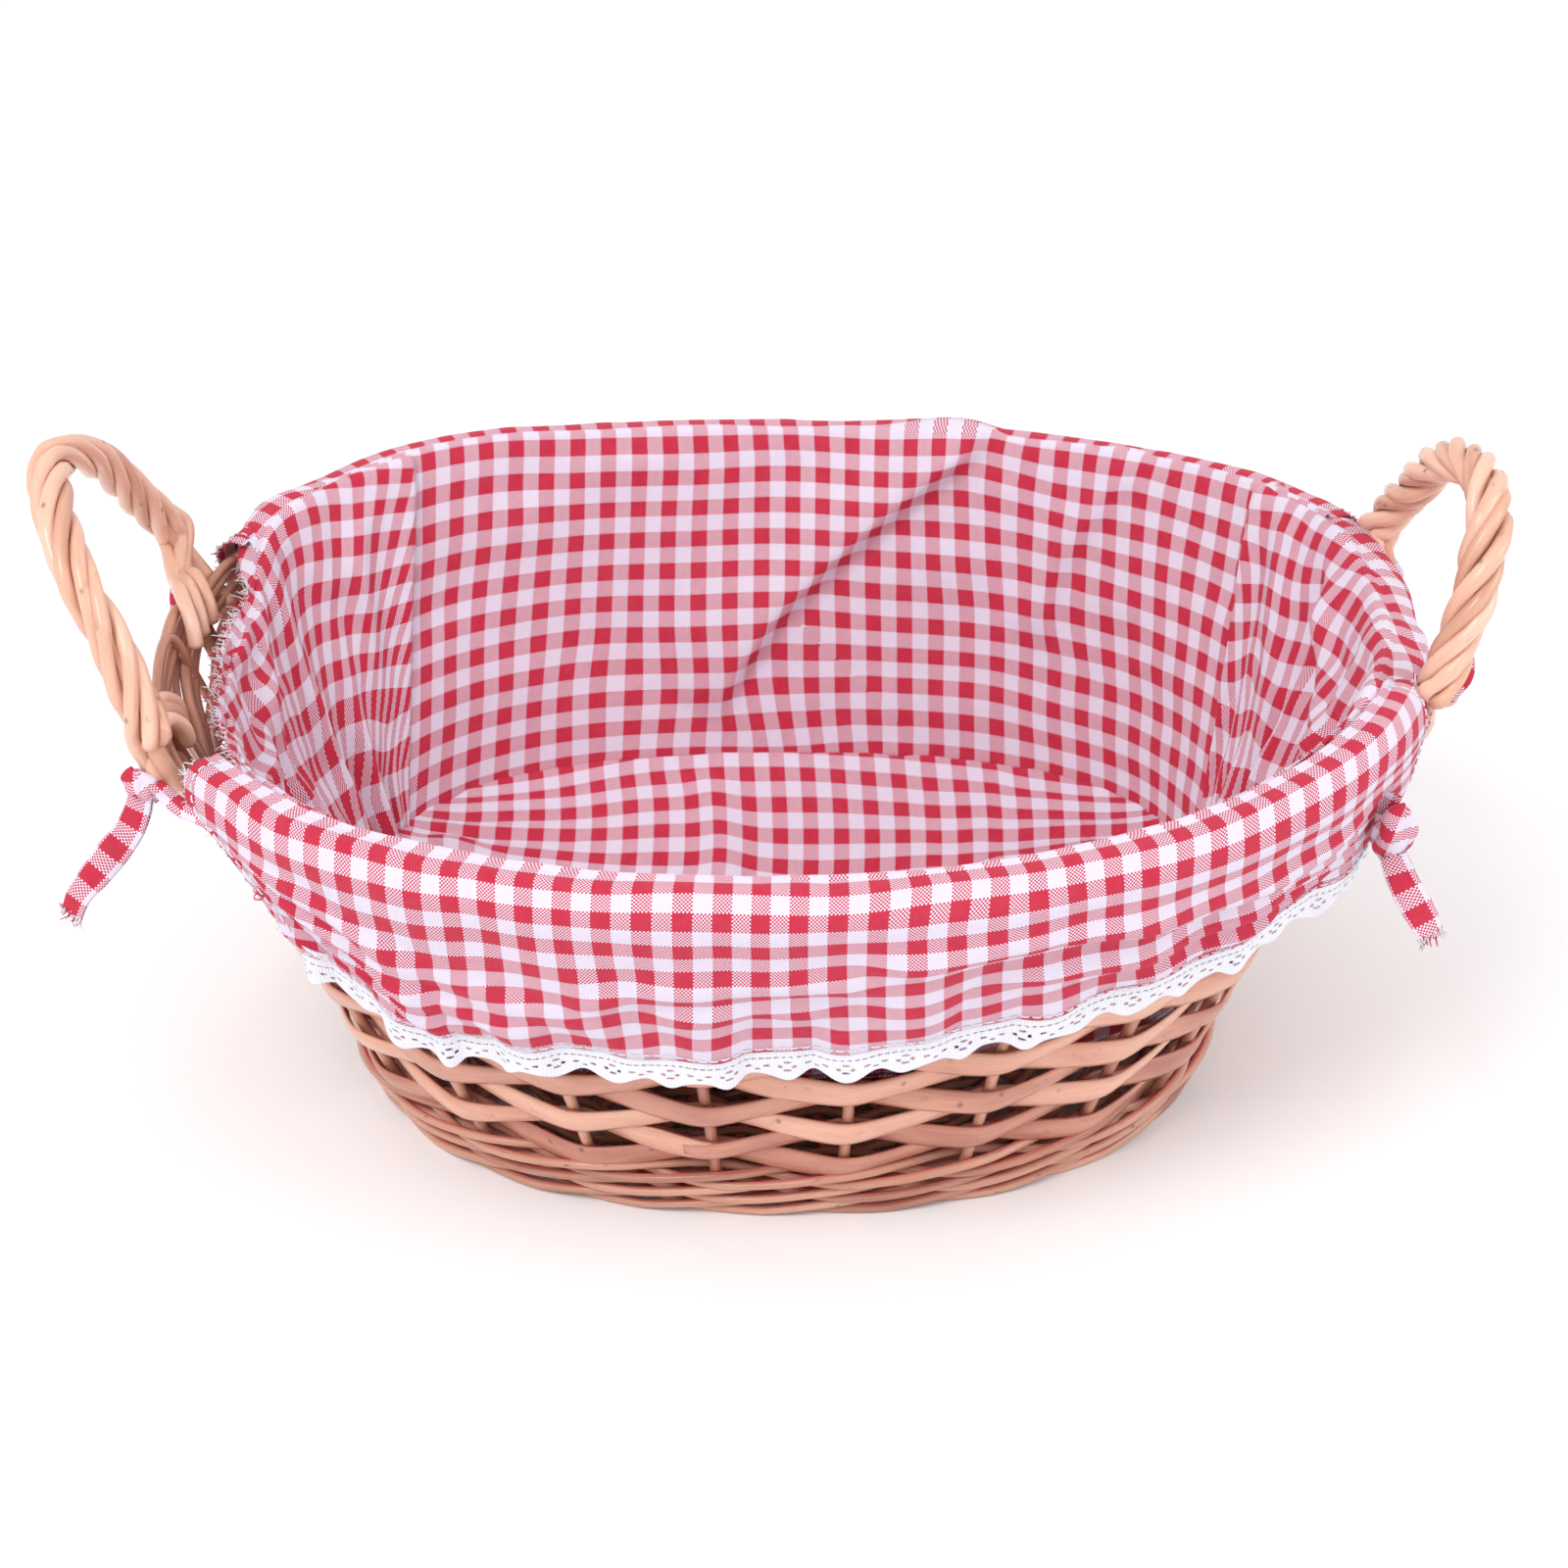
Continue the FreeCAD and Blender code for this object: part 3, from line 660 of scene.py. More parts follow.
def make_handle(side, arch, front_turn, back_turn, twists):
    """A core rod and five rods twisted round it, whose feet fan out over the border."""
    ends = [wall_point(turn, 139.0, 7.0) for turn in (front_turn, back_turn)]
    line = spline([ends[0], *arch, ends[1]], 220)
    rows = len(line)
    pieces = Pieces()
    core = spline(leg_points(front_turn, (124.0, 131.0)) + [line[k] for k in range(8, rows - 8, 17)]
                  + leg_points(back_turn, (131.0, 124.0)), 160)
    round_rod(pieces, core, CORE_RADIUS, sides=10, taper=0.0)
    pieces.make(side + "_handle_core", handle_willow, "basket", "handle_willow", side + "_handle_bow")
    across, beside = path_frames(line)
    pieces = Pieces()
    share = np.linspace(0.0, 1.0, rows)
    inward = 1.0 if side == "right" else -1.0
    for rod in range(WRAP_RODS):
        angle = math.tau * (rod / WRAP_RODS + twists * share) + wander(rows, 40, 0.16)
        distance = WRAP_DISTANCE + wander(rows, 26, 0.30)
        path = line + across * (distance * np.cos(angle))[:, None]
        path = path + beside * (distance * np.sin(angle))[:, None]
        front = foot_keys(front_turn, inward, rod)
        back = foot_keys(back_turn, -inward, (rod + 2) % WRAP_RODS)[::-1]
        whole = spline(front + [path[k] for k in range(9, rows - 9, 6)] + back, 300)
        round_rod(pieces, whole, WRAP_RADIUS * random.uniform(0.88, 1.08), sides=9, taper=0.0, bumps=0.05)
    pieces.make(side + "_handle_rope", handle_willow, "basket", "handle_willow",
                side + "_handle_wrap", side + "_handle_binding")


make_handle("left", LEFT_ARCH, 16.33, 14.05, 2.9)
make_handle("right", RIGHT_ARCH, 4.16, 5.93, 3.3)


# ------------------------------------------------------------------ cloth sheets

CLOTH_THICKNESS = 0.4
LACE_THICKNESS = 0.55


def keyed(turn, keys, blur=0.35):
    """Value at a turn through (turn, value) keys, with the corners rounded off."""
    places, values = np.array(keys, float).T
    shifts = np.linspace(-blur, blur, 9)
    return np.mean([np.interp(turn + shift, places, values) for shift in shifts], axis=0)


def spaced(stops, pitch):
    """Values from the first stop to the last that pass through every stop."""
    parts = []
    for low, high in zip(stops, stops[1:]):
        count = max(2, int(round((high - low) / pitch)))
        parts.append(np.linspace(low, high, count, endpoint=False))
    return np.concatenate(parts + [np.array([stops[-1]])])


def grid_normals(grid):
    down, along = np.gradient(grid, axis=(0, 1))
    return normalised(np.cross(along, down))


def distance_to_line(x, y, keys):
    """Signed distance to a line of keys, the share of the way along it, and the direction square to it."""
    best = np.full(x.shape, np.inf)
    signed = np.zeros(x.shape)
    share = np.zeros(x.shape)
    square = np.zeros(x.shape + (2,))
    parts = len(keys) - 1
    for index, ((ax, ay), (bx, by)) in enumerate(zip(keys, keys[1:])):
        dx, dy = bx - ax, by - ay
        t = np.clip(((x - ax) * dx + (y - ay) * dy) / (dx * dx + dy * dy), 0.0, 1.0)
        px, py = x - ax - t * dx, y - ay - t * dy
        apart = np.hypot(px, py)
        nearer = apart < best
        best = np.where(nearer, apart, best)
        signed = np.where(nearer, apart * np.sign(dx * py - dy * px), signed)
        share = np.where(nearer, (index + t) / parts, share)
        square[nearer] = np.array([-dy, dx]) / math.hypot(dx, dy)
    return signed, share, square


def fold_field(x, y, folds):
    """Height of folds, and how far each place slides as its cloth is taken up by them.

    A fold is (points along its crest, height, width on the side below 0, width above 0, cloth taken up).
    """
    total = np.zeros(x.shape)
    slide = np.zeros(x.shape + (2,))
    for keys, height, low_width, high_width, taken in folds:
        signed, share, square = distance_to_line(x, y, spline(keys, 14))
        width = np.where(signed > 0.0, high_width, low_width)
        fade = np.sin(0.5 * math.pi * np.clip(5.0 * share, 0.0, 1.0) * np.clip(5.0 * (1.0 - share), 0.0, 1.0))
        total = np.maximum(total, height * fade * np.exp(-(signed / width) ** 2))
        side = 1.0 if high_width < low_width else -1.0
        steep = min(low_width, high_width)
        past = side * signed
        step = 0.5 + 0.5 * np.tanh((past - 0.5 * steep) / (0.5 * steep))
        step = step * np.exp(-np.maximum(past, 0.0) / 55.0)
        slide += (taken * side * fade * step)[..., None] * square
    return total, slide


def cloth_piece(name, grid, u, v, nodes, material=gingham, keep=None,
                thickness=CLOTH_THICKNESS):
    """One sheet of cloth as a grid of quads, with a thickness and the cloth's own measure as UV."""
    rows, columns = grid.shape[:2]
    index = np.arange(rows * columns).reshape(rows, columns)
    faces = np.stack([index[:-1, :-1], index[1:, :-1], index[1:, 1:], index[:-1, 1:]], -1)
    faces = faces.reshape(-1, 4) if keep is None else faces[keep]
    used, renumbered = np.unique(faces, return_inverse=True)
    mesh = bpy.data.meshes.new(name)
    mesh.from_pydata((grid.reshape(-1, 3)[used] * MM).tolist(), [], renumbered.reshape(-1, 4).tolist())
    uv = np.stack([u, v], -1).reshape(-1, 2)
    mesh.uv_layers.new(name="Cloth").data.foreach_set("uv", (uv[faces.ravel()] * MM).ravel())
    piece = new_piece(name, mesh, material, "liner")
    solid = piece.modifiers.new("thickness", "SOLIDIFY")
    solid.thickness = thickness * MM
    solid.offset = 0.0
    if nodes:
        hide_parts(*nodes)
    return piece


# ------------------------------------------------------------------ liner

SEAM_HEIGHT = 48.0
SEAM_AXES = (127.0, 87.0)
SEAM_POWER = 2.6
CENTRE_HEIGHT = 10.0         # middle of the sagging floor
TURN_LENGTH = 48.7           # cloth from stake to stake at the rim
RIM_ANGLES, RIM_LENGTHS = length_table(*half_axes(138.0))
RIM_SCALE = 10.0 * round(RIM_LENGTHS[-1] / 10.0) / RIM_LENGTHS[-1]     # whole checks round the rim


def rim_length(turn):
    """Length of cloth round the rim from the front middle, growing for ever with the turn."""
    turn = np.asarray(turn, float)
    whole = np.floor(turn / STAKES)
    return (np.interp(angle_at(turn), RIM_ANGLES, RIM_LENGTHS) + whole * RIM_LENGTHS[-1]) * RIM_SCALE


def seam_point(turn, above=0.0, grow=0.0):
    """Place on the seam round the floor."""
    ux, uy = unit_oval(angle_at(turn), SEAM_POWER)
    height = SEAM_HEIGHT + above + 0.0 * ux
    return np.stack([(SEAM_AXES[0] + grow) * ux, (SEAM_AXES[1] + grow) * uy, height], -1)


def outside_share(grid, crest_row, middle):
    """Length along each row outside the border against the length over its top: the cloth isn't squeezed."""
    steps = np.linalg.norm(np.diff(grid, axis=1), axis=2)
    run = np.concatenate([np.zeros((len(grid), 1)), np.cumsum(steps, axis=1)], axis=1)
    run = np.abs(run - run[:, [middle]]) + 0.01
    share = run / run[crest_row]
    share[crest_row:] = 1.0
    return share


def lengths_down(grid):
    """Length down each column of a grid."""
    steps = np.linalg.norm(np.diff(grid, axis=0), axis=2)
    return np.concatenate([np.zeros((1, grid.shape[1])), np.cumsum(steps, axis=0)])


def cuffed_panel(name, nodes, centre, cuff_turns, seam_turns, floor_turns, crest_keys, hem_keys, flare_keys,
                 folds, waves, slant=0.0):
    """One sheet from its hem up the outside, over the border and down inside to the floor.

    The slant draws the first side edge of the cuff in towards its hem.
    """
    turn = spaced([cuff_turns[0], seam_turns[0], centre, seam_turns[1], cuff_turns[1]], 1.5 / TURN_LENGTH)
    crest = keyed(turn, crest_keys)
    hem = keyed(turn, hem_keys)
    drop = crest - hem
    flare = keyed(turn, flare_keys)
    profile = [(hem, flare, 1.0), (hem + 0.33 * drop, 0.55 * flare + 3.6, 0.8),
               (hem + 0.66 * drop, 0.2 * flare + 6.4, 0.45), (crest - 6.0, 7.6, 0.15), (crest - 1.6, 4.7, 0.05),
               (crest, 0.0, 0.0), (crest - 1.5, -4.8, 0.0), (crest - 6.5, -8.4, 0.0)]
    drawn = slant * np.clip((centre - 1.9 - turn) / 1.6, 0.0, 1.0)
    keys = [wall_point(turn + pull * drawn, height, offset) for height, offset, pull in profile]
    spread = np.where(turn < centre, (centre - floor_turns[0]) / (centre - seam_turns[0]),
                      (floor_turns[1] - centre) / (seam_turns[1] - centre))
    bottom = seam_point(centre + spread * (turn - centre), -2.0)
    keys += [0.5 * (keys[-1] + bottom), bottom]
    counts = (11, 11, 10, 5, 5, 5, 5, 31, 31)
    grid = through(keys, counts)
    crest_row = sum(counts[:5])
    wall_row = crest_row + 13        # the part above it reaches out to the sides of the cuff
    rows, columns = grid.shape[:2]
    lengths = lengths_down(grid)
    middle = int(np.argmin(np.abs(turn - centre)))
    down = lengths[crest_row, middle] - lengths[:, middle]
    across = np.tile(rim_length(turn) - rim_length(centre), (rows, 1))
    v = np.tile(down[:, None], (1, columns))
    u = across * outside_share(grid, crest_row, middle)
    outside = np.clip(v / down[0], 0.0, 1.0)
    inside = np.clip(v / down[-1], 0.0, 1.0)
    swing = np.zeros((rows, columns))
    for length, phase, size, lean in waves:
        swing += size * np.sin(math.tau * (across + lean * v) / length + phase)
    swing = outside ** 1.4 * (swing + smooth_field(swing.shape, (6, 18), 0.5))
    folded, slide = fold_field(across, v, folds)
    height = np.maximum(swing, -0.8) + folded
    height += np.sin(math.pi * inside) * smooth_field(swing.shape, (12, 14), 0.7)
    height += smooth_field(swing.shape, (26, 40), 0.16)
    grid = grid + grid_normals(grid) * height[..., None]
    u = u + slide[..., 0] + smooth_field(u.shape, (8, 12), 0.6)
    v = v + slide[..., 1] + smooth_field(v.shape, (8, 12), 0.6)
    keep = np.ones((rows - 1, columns - 1), bool)
    mid_turn = 0.5 * (turn[1:] + turn[:-1])
    keep[wall_row:, (mid_turn < seam_turns[0]) | (mid_turn > seam_turns[1])] = False
    return cloth_piece(name, grid, u, v, nodes, keep=keep), turn, grid, crest_row


def end_panel(name, node, rim_turns, floor_turns, lap_keys, crest_keys, low_keys, pleats, folds, shear,
              crowding):
    """A gathered end: its top edge over or just inside the border, its foot pleated into the floor."""
    turn = spaced(list(rim_turns), 1.3 / TURN_LENGTH)
    share = (turn - rim_turns[0]) / (rim_turns[1] - rim_turns[0])
    lap = keyed(turn, lap_keys, 0.25)[:, None]
    crest = keyed(turn, crest_keys)
    top = keyed(turn, low_keys)
    deep = -10.4 - 0.6 * np.clip(132.0 - top, 0.0, 9.0)
    over = [(crest - 3.6, 5.2), (crest + 0.6, 3.4), (crest + 1.5, -0.6), (crest + 0.1, -5.6),
            (crest - 5.5, -10.6)]
    low = [(top, deep), (top - 1.5, deep - 0.2), (top - 3.2, deep - 0.4), (top - 5.0, deep - 0.5),
           (top - 8.0, deep - 0.5)]
    keys = [lap * wall_point(turn, *high_key) + (1.0 - lap) * wall_point(turn, *low_key)
            for high_key, low_key in zip(over, low)]
    bunched = share - 0.07 * np.sin(math.tau * share)
    bottom = seam_point(floor_turns[0] + (floor_turns[1] - floor_turns[0]) * bunched, -2.0)
    bulge = 3.0 * np.sin(math.pi * share)[:, None] * normalised(bottom * np.array([1.0, 1.0, 0.0]))
    keys += [0.5 * (keys[-1] + bottom) + bulge, bottom]
    grid = through(keys, (5, 5, 6, 6, 36, 36))
    start = 7.5 * lap[:, 0] - 11.0 * (1.0 - lap[:, 0])
    v = start[None, :] - lengths_down(grid)
    depth = np.clip(-v / 105.0, 0.0, 1.0)
    across = np.tile(rim_length(turn) - rim_length(0.5 * (rim_turns[0] + rim_turns[1])), (len(grid), 1))
    u = across * (1.0 + crowding * depth ** 1.5)
    edges = np.sin(math.pi * share) ** 0.4
    swing = np.zeros(v.shape)
    for count, phase, size, bend in pleats:
        swing += size * np.sin(math.tau * count * (share[None, :] + bend * depth * (1.0 - depth)) + phase)
    height = edges * (0.12 + depth ** 1.2) * swing
    folded, slide = fold_field(across, v, folds)
    v = v * (1.0 - 0.3 * depth) + shear * across * (1.0 - 0.6 * depth)
    height += folded * edges
    height += smooth_field(height.shape, (10, 14), 0.6) * edges
    height += smooth_field(height.shape, (26, 30), 0.18)
    grid = grid + grid_normals(grid) * height[..., None]
    u = u + slide[..., 0] * edges + smooth_field(u.shape, (9, 12), 1.0)
    v = v + slide[..., 1] * edges + smooth_field(v.shape, (9, 12), 1.0)
    return cloth_piece(name, grid, u, v, [node]), turn, grid


# Keys are (turn, height or offset from the wall); folds are in cloth lengths across and down from the border.
FRONT_CREST = [(-4, 138.6), (-2, 137.4), (-0.5, 137), (1, 137.4), (1.8, 140), (2.6, 141.5), (3.3, 145),
               (4.2, 146.5)]
FRONT_HEM = [(-4, 108), (-3.5, 103), (-3.1, 92), (-2.7, 80.5), (-2.2, 77), (-1.2, 79), (-0.4, 80.5),
             (0.4, 84), (1.2, 88), (2.1, 94.5), (2.9, 102), (3.5, 105), (3.9, 113), (4.3, 126)]
FRONT_FLARE = [(-4, 12), (-3, 11), (-2, 8.5), (0, 8), (2, 8.5), (3, 10), (4, 11)]
FRONT_FOLDS = [
    ([(-166, 26), (-140, 36), (-100, 48), (-62, 55)], 3.4, 3, 6, 3),
    ([(-168, 34), (-146, 45), (-112, 55), (-84, 59)], 2.8, 2.4, 4.2, 2.5),
    ([(-164, 18), (-128, 27), (-84, 41), (-42, 52)], 2.4, 3, 7, 1.5),
    ([(186, 30), (150, 34), (110, 30), (66, 25), (20, 28)], 3, 2.6, 6, 4),
    ([(184, 40), (150, 44), (110, 45), (60, 42)], 2.6, 2.6, 5, 3),
    ([(184, 49), (154, 53), (120, 56), (92, 57)], 2.2, 2.4, 4, 2),
    ([(34, 38), (0, 33), (-34, 36), (-60, 44)], 2, 3.2, 5, 2.5),
    ([(20, 47), (-12, 43), (-40, 48)], 1.8, 3, 5, 2),
]
FRONT_WAVES = [(52, 0.6, 1.7, 0.5), (31, 2, 1.4, -0.3), (74, 4, 1.3, 0.2)]
BACK_CREST = [(6, 147.5), (6.8, 146), (7.8, 143), (9, 142), (10, 142), (11.2, 143.5), (12.2, 147),
              (12.8, 146), (13.4, 142), (14, 139.5)]
BACK_HEM = [(6, 96), (7, 88), (8.5, 81), (10, 79.5), (11.5, 81), (13, 86), (14, 94)]
BACK_FLARE = [(6, 10), (8, 8), (12, 8), (14, 10)]
BACK_FOLDS = [
    ([(-72, -2), (-61, -13), (-38, -31), (-22, -44), (-10, -55), (0.5, -64), (8, -74),
      (16, -86), (24, -101)], 7, 3.4, 17, 6),
    ([(-122, -6), (-104, -28), (-90, -50), (-84, -74)], 3, 4, 9, 3),
]
BACK_WAVES = [(48, 1.6, 1.6, 0.3), (33, 0.4, 1.4, -0.4), (81, 3, 1.3, 0.2)]
LEFT_FOLDS = [
    ([(-40, -10), (-20, -30), (10, -44), (50, -48)], 4, 9, 3.2, 5),
    ([(-103, -18), (-96, -38), (-100, -66), (-106, -92)], 4, 8, 5, 3),
]
RIGHT_FOLDS = [
    ([(60, -16), (30, -40), (-10, -58), (-40, -62)], 4.5, 7, 3.2, 5),
    ([(84, -10), (78, -40), (60, -70), (50, -96)], 4, 4, 8, 4),
    ([(-70, -30), (-40, -52), (-8, -66)], 3, 5, 7, 2),
]
FLOOR_FOLDS = [
    ([(-112, 44), (-84, 30), (-50, 6)], 3.2, 4, 6, 2.5),
    ([(-114, 34), (-84, 12), (-60, -12)], 2.8, 4, 6, 2.5),
    ([(118, 28), (92, 36), (60, 44)], 2.8, 3, 6, 2),
    ([(118, 20), (86, 20), (56, 12)], 2.6, 3, 6, 2),
    ([(-26, 84), (-20, 50), (-30, 20)], 2.2, 6, 8, 1.5),
]

front_sheet, front_turn, front_grid, front_crest_row = cuffed_panel(
    "front_liner", ["liner_front_wall", "front_cuff"], 0.0, (-3.5, 4.12), (-2.65, 2.65), (-3.6, 3.6),
    FRONT_CREST, FRONT_HEM, FRONT_FLARE, FRONT_FOLDS, FRONT_WAVES, 0.72)
back_sheet, back_turn, back_grid, back_crest_row = cuffed_panel(
    "back_liner", ["liner_back_wall", "back_cuff"], 10.0, (6.1, 13.88), (6.7, 12.5), (5.7, 13.6),
    BACK_CREST, BACK_HEM, BACK_FLARE, BACK_FOLDS, BACK_WAVES)
left_sheet, left_turn, left_grid = end_panel(
    "left_liner_end", "liner_left_end", (12.5, 17.35), (13.6, 16.4),
    [(12, 1), (13.75, 1), (14.1, 0), (16.3, 0), (16.6, 0.25), (17.4, 0.3)],
    [(12, 144.5), (13.4, 142.5), (14.2, 140), (17.5, 140)],
    [(12, 132), (13.9, 131), (14.4, 127.5), (16.1, 126.5), (16.6, 131), (17.5, 131)],
    [(7, 0.4, 2.4, 0.10), (11, 2, 1.5, -0.06), (17, 1, 0.8, 0.05)], LEFT_FOLDS, -0.2, 0.5)
right_sheet, right_turn, right_grid = end_panel(
    "right_liner_end", "liner_right_end", (2.65, 6.7), (3.6, 5.7),
    [(2.6, 0.3), (3.4, 0.3), (3.9, 0.9), (7, 1)],
    [(2.6, 143), (5.3, 143), (5.9, 145.5), (6.8, 144.5)],
    [(2.6, 136), (3.3, 140), (4, 140.5), (7, 136)],
    [(6, 1.4, 2.6, -0.12), (10, 0, 1.6, 0.07), (15, 2, 0.8, 0.05)], RIGHT_FOLDS, 0.2, 0.4)


def make_floor():
    """The sagging floor: rows of checks crowd together towards its two gathered ends."""
    turn = np.linspace(0.0, STAKES, 361)
    reach = np.linspace(0.0, 1.0, 65)[:, None]
    edge = seam_point(turn, -0.4, 2.2)
    x = reach * edge[:, 0]
    y = reach * edge[:, 1]
    z = CENTRE_HEIGHT + (edge[:, 2] - CENTRE_HEIGHT) * reach ** 1.25
    endward = np.abs(x / 112.0)
    u = x * 1.03
    v = (y - 32.0) * (1.0 + 0.9 * endward ** 3)
    waves = np.sin(math.tau * v / 13.0) * np.clip(endward, 0.0, 1.0) ** 3 * 1.8
    folds, slide = fold_field(x, y, FLOOR_FOLDS)
    bumps = 0.7 * np.sin(x / 17.0 + 1.0) * np.cos(y / 13.0) + 0.4 * np.sin(x / 9.0 + y / 11.0)
    fade = np.clip(8.0 * (1.0 - reach), 0.0, 1.0) * np.clip(4.0 * reach, 0.0, 1.0)
    z = z + fade * (waves + folds + bumps)
    u = u + slide[..., 0] + 1.2 * np.sin(y / 15.0 + 1.0)
    v = v + slide[..., 1] + 0.9 * np.sin(x / 19.0)
    return cloth_piece("liner_floor_cloth", np.stack([x, y, z], -1), u, v, ["liner_floor"])


floor_sheet = make_floor()


# ------------------------------------------------------------------ lace

LACE_REPEAT = 16.0
LACE_STEP = 0.42
LACE_ROWS = 30
LACE_TUCK = 2.0              # how far it goes up behind the hem
LACE_HOLES = [(0.0, 4.5, 1.25, 0.42), (-1.9, 5.9, 0.62, 0.62), (1.9, 5.9, 0.62, 0.62), (0.0, 7.2, 1.25, 0.45),
              (-5.6, 5.2, 1.0, 0.42), (5.6, 5.2, 1.0, 0.42), (8.0, 6.2, 0.8, 0.40), (-8.0, 6.2, 0.8, 0.40)]
SLIT = (2.7, 0.95, 0.30, 2.0)            # place below the hem, half length, half height, spacing


def lace_drop(along):
    """How far the scalloped edge hangs below the hem."""
    wave = 0.5 + 0.5 * np.cos(math.tau * along / LACE_REPEAT)
    return 7.6 + 3.0 * wave ** 1.2


def lace_holes(along, below):
    """Moves points near a hole onto its rim; also tells which points are inside one."""
    inside = np.full(along.shape, 9.0)
    new_along, new_below = along.copy(), below.copy()
    repeat = np.round(along / LACE_REPEAT) * LACE_REPEAT
    holes = [(repeat + dx, dy, a, b) for dx, dy, a, b in LACE_HOLES]
    holes += [((np.floor(along / SLIT[3]) + 0.5) * SLIT[3], *SLIT[:3])]
    for middle, level, half_length, half_height in holes:
        dx = along - middle
        dy = below - level
        size = np.hypot(dx / half_length, dy / half_height)
        near = (size > 0.35) & (size < 1.0 + 0.5 * LACE_STEP / half_height) & (size < inside)
        new_along = np.where(near, middle + dx / np.maximum(size, 0.1), new_along)
        new_below = np.where(near, level + dy / np.maximum(size, 0.1), new_below)
        inside = np.minimum(inside, size)
    return new_along, new_below, inside


def make_lace(name, node, turn, hem):
    """Scalloped cotton lace sewn behind the hem."""
    lengths = running_length(hem)
    along = np.tile(np.linspace(0.0, lengths[-1], int(lengths[-1] / LACE_STEP)), (LACE_ROWS, 1))
    share = np.linspace(0.0, 1.0, LACE_ROWS)[:, None]
    below = share * (lace_drop(along) + LACE_TUCK) - LACE_TUCK
    along, below, size = lace_holes(along, below)
    along = np.clip(along, 0.0, lengths[-1])
    place = at_lengths(along, lengths, hem)
    point, up, square = wall(np.interp(along, lengths, turn), place[..., 2])
    flare = 0.35 * np.sin(math.tau * along / 23.0 + 0.7) + 0.22 * np.sin(math.tau * along / 9.0)
    flare = flare * np.clip(below / 8.0, 0.0, 1.0) - 0.55
    hang = normalised(0.35 * up + 0.65 * np.array([0.0, 0.0, 1.0]))
    lace = place - hang * below[..., None] + square * flare[..., None]
    keep = 0.25 * (size[:-1, :-1] + size[1:, :-1] + size[1:, 1:] + size[:-1, 1:]) > 1.0
    piece = cloth_piece(name, lace, along, below, [node], lace_cotton, keep, LACE_THICKNESS)
    return piece, lengths[-1]


front_lace, front_lace_length = make_lace("front_lace_trim", "front_lace", front_turn, front_grid[0])
back_lace, back_lace_length = make_lace("back_lace_trim", "back_lace", back_turn, back_grid[0])


# ------------------------------------------------------------------ ties

TIE_CLOTH = 17.0             # width of the strip before it is folded in half
LOOP_CLOTH = 10.0
RIBBON_SIDES = 23
TO_FRONT = (0.0, -0.86, 0.5)
TO_BACK = (0.0, 0.95, 0.3)


def ribbon(name, keys, rolls, width=0.5 * TIE_CLOTH, facing=TO_FRONT, nodes=()):
    """A strip of cloth folded in half along its length; its rolls are counted from where it faces one way."""
    line = spline(keys, 56)
    rows = len(line)
    share = np.linspace(0.0, 1.0, rows)
    tangents = normalised(np.gradient(line, axis=0))
    across = normalised(np.cross(np.array(facing), tangents))
    beside = np.cross(tangents, across)
    roll = np.radians(np.interp(share, np.linspace(0.0, 1.0, len(rolls)), rolls))
    roll = np.convolve(np.pad(roll, 6, mode="edge"), np.ones(13) / 13.0, mode="valid")[:, None]
    side = across * np.cos(roll) + beside * np.sin(roll)
    face = beside * np.cos(roll) - across * np.sin(roll)
    around = np.radians(np.linspace(14.0, 346.0, RIBBON_SIDES))
    x = 0.5 * width * (1.0 + wander(rows, 9, 0.05))[:, None] * np.cos(around)[None, :]
    y = (0.75 + 0.25 * np.sin(5.0 * math.pi * share))[:, None] * np.sin(around)[None, :]
    y = y + 0.9 * np.sin(2.5 * math.pi * share + 0.6)[:, None] * (x / width) ** 2
    y = y + smooth_field(x.shape, (9, 5), 0.22)
    grid = line[:, None, :] + side[:, None, :] * x[..., None] + face[:, None, :] * y[..., None]
    lengths = running_length(line)
    u = np.tile(np.linspace(0.0, 2.0 * width, RIBBON_SIDES), (rows, 1)) + 3.0
    v = np.tile(lengths[:, None], (1, RIBBON_SIDES))
    return cloth_piece(name, grid, u, v, nodes), grid, lengths[-1]


def knot(name, centre, axis, radius, length):
    """The knot: a band pulled tight round the strip, with its creases."""
    axis = normalised(np.array(axis, float))
    first = normalised(np.cross(axis, [0.3, 1.0, 0.2]))
    second = np.cross(axis, first)
    around = np.linspace(0.0, math.tau, 72)[:, None]
    share = np.linspace(0.0, 1.0, 30)[None, :]
    size = radius * (0.1 + 0.9 * np.sin(math.pi * share) ** 0.55)
    size = size * (1.0 + 0.13 * np.sin(3.0 * around + 7.0 * share)
                   + 0.08 * np.sin(5.0 * around - 9.0 * share))
    shift = length * (share - 0.5) + 1.1 * np.sin(around + 0.5) + 0.4 * np.sin(3.0 * around)
    grid = (np.array(centre) + axis * shift[..., None]
            + size[..., None] * (first * np.cos(around)[..., None]
                                 + 0.8 * second * np.sin(around)[..., None]))
    skew = 2.5 * np.sin(around + 0.8)
    u = around * radius + skew + 0.0 * share
    return cloth_piece(name, grid, u, share * (length + 1.2 * radius) + skew, ())


def make_tie(name, strap, strap_rolls, strap_width, centre, axis, radius, length, tail, tail_rolls,
             facing=TO_FRONT):
    """A strap from the corner of a cuff to the knot at a handle foot, the knot, and the hanging tail."""
    strap_piece = ribbon(name + "_strap", strap, strap_rolls, strap_width, facing)[0]
    knot_piece = knot(name + "_knot", centre, axis, radius, length)
    tail_piece, grid, tail_length = ribbon(name + "_tail", tail, tail_rolls, facing=facing, nodes=[name])
    return grid


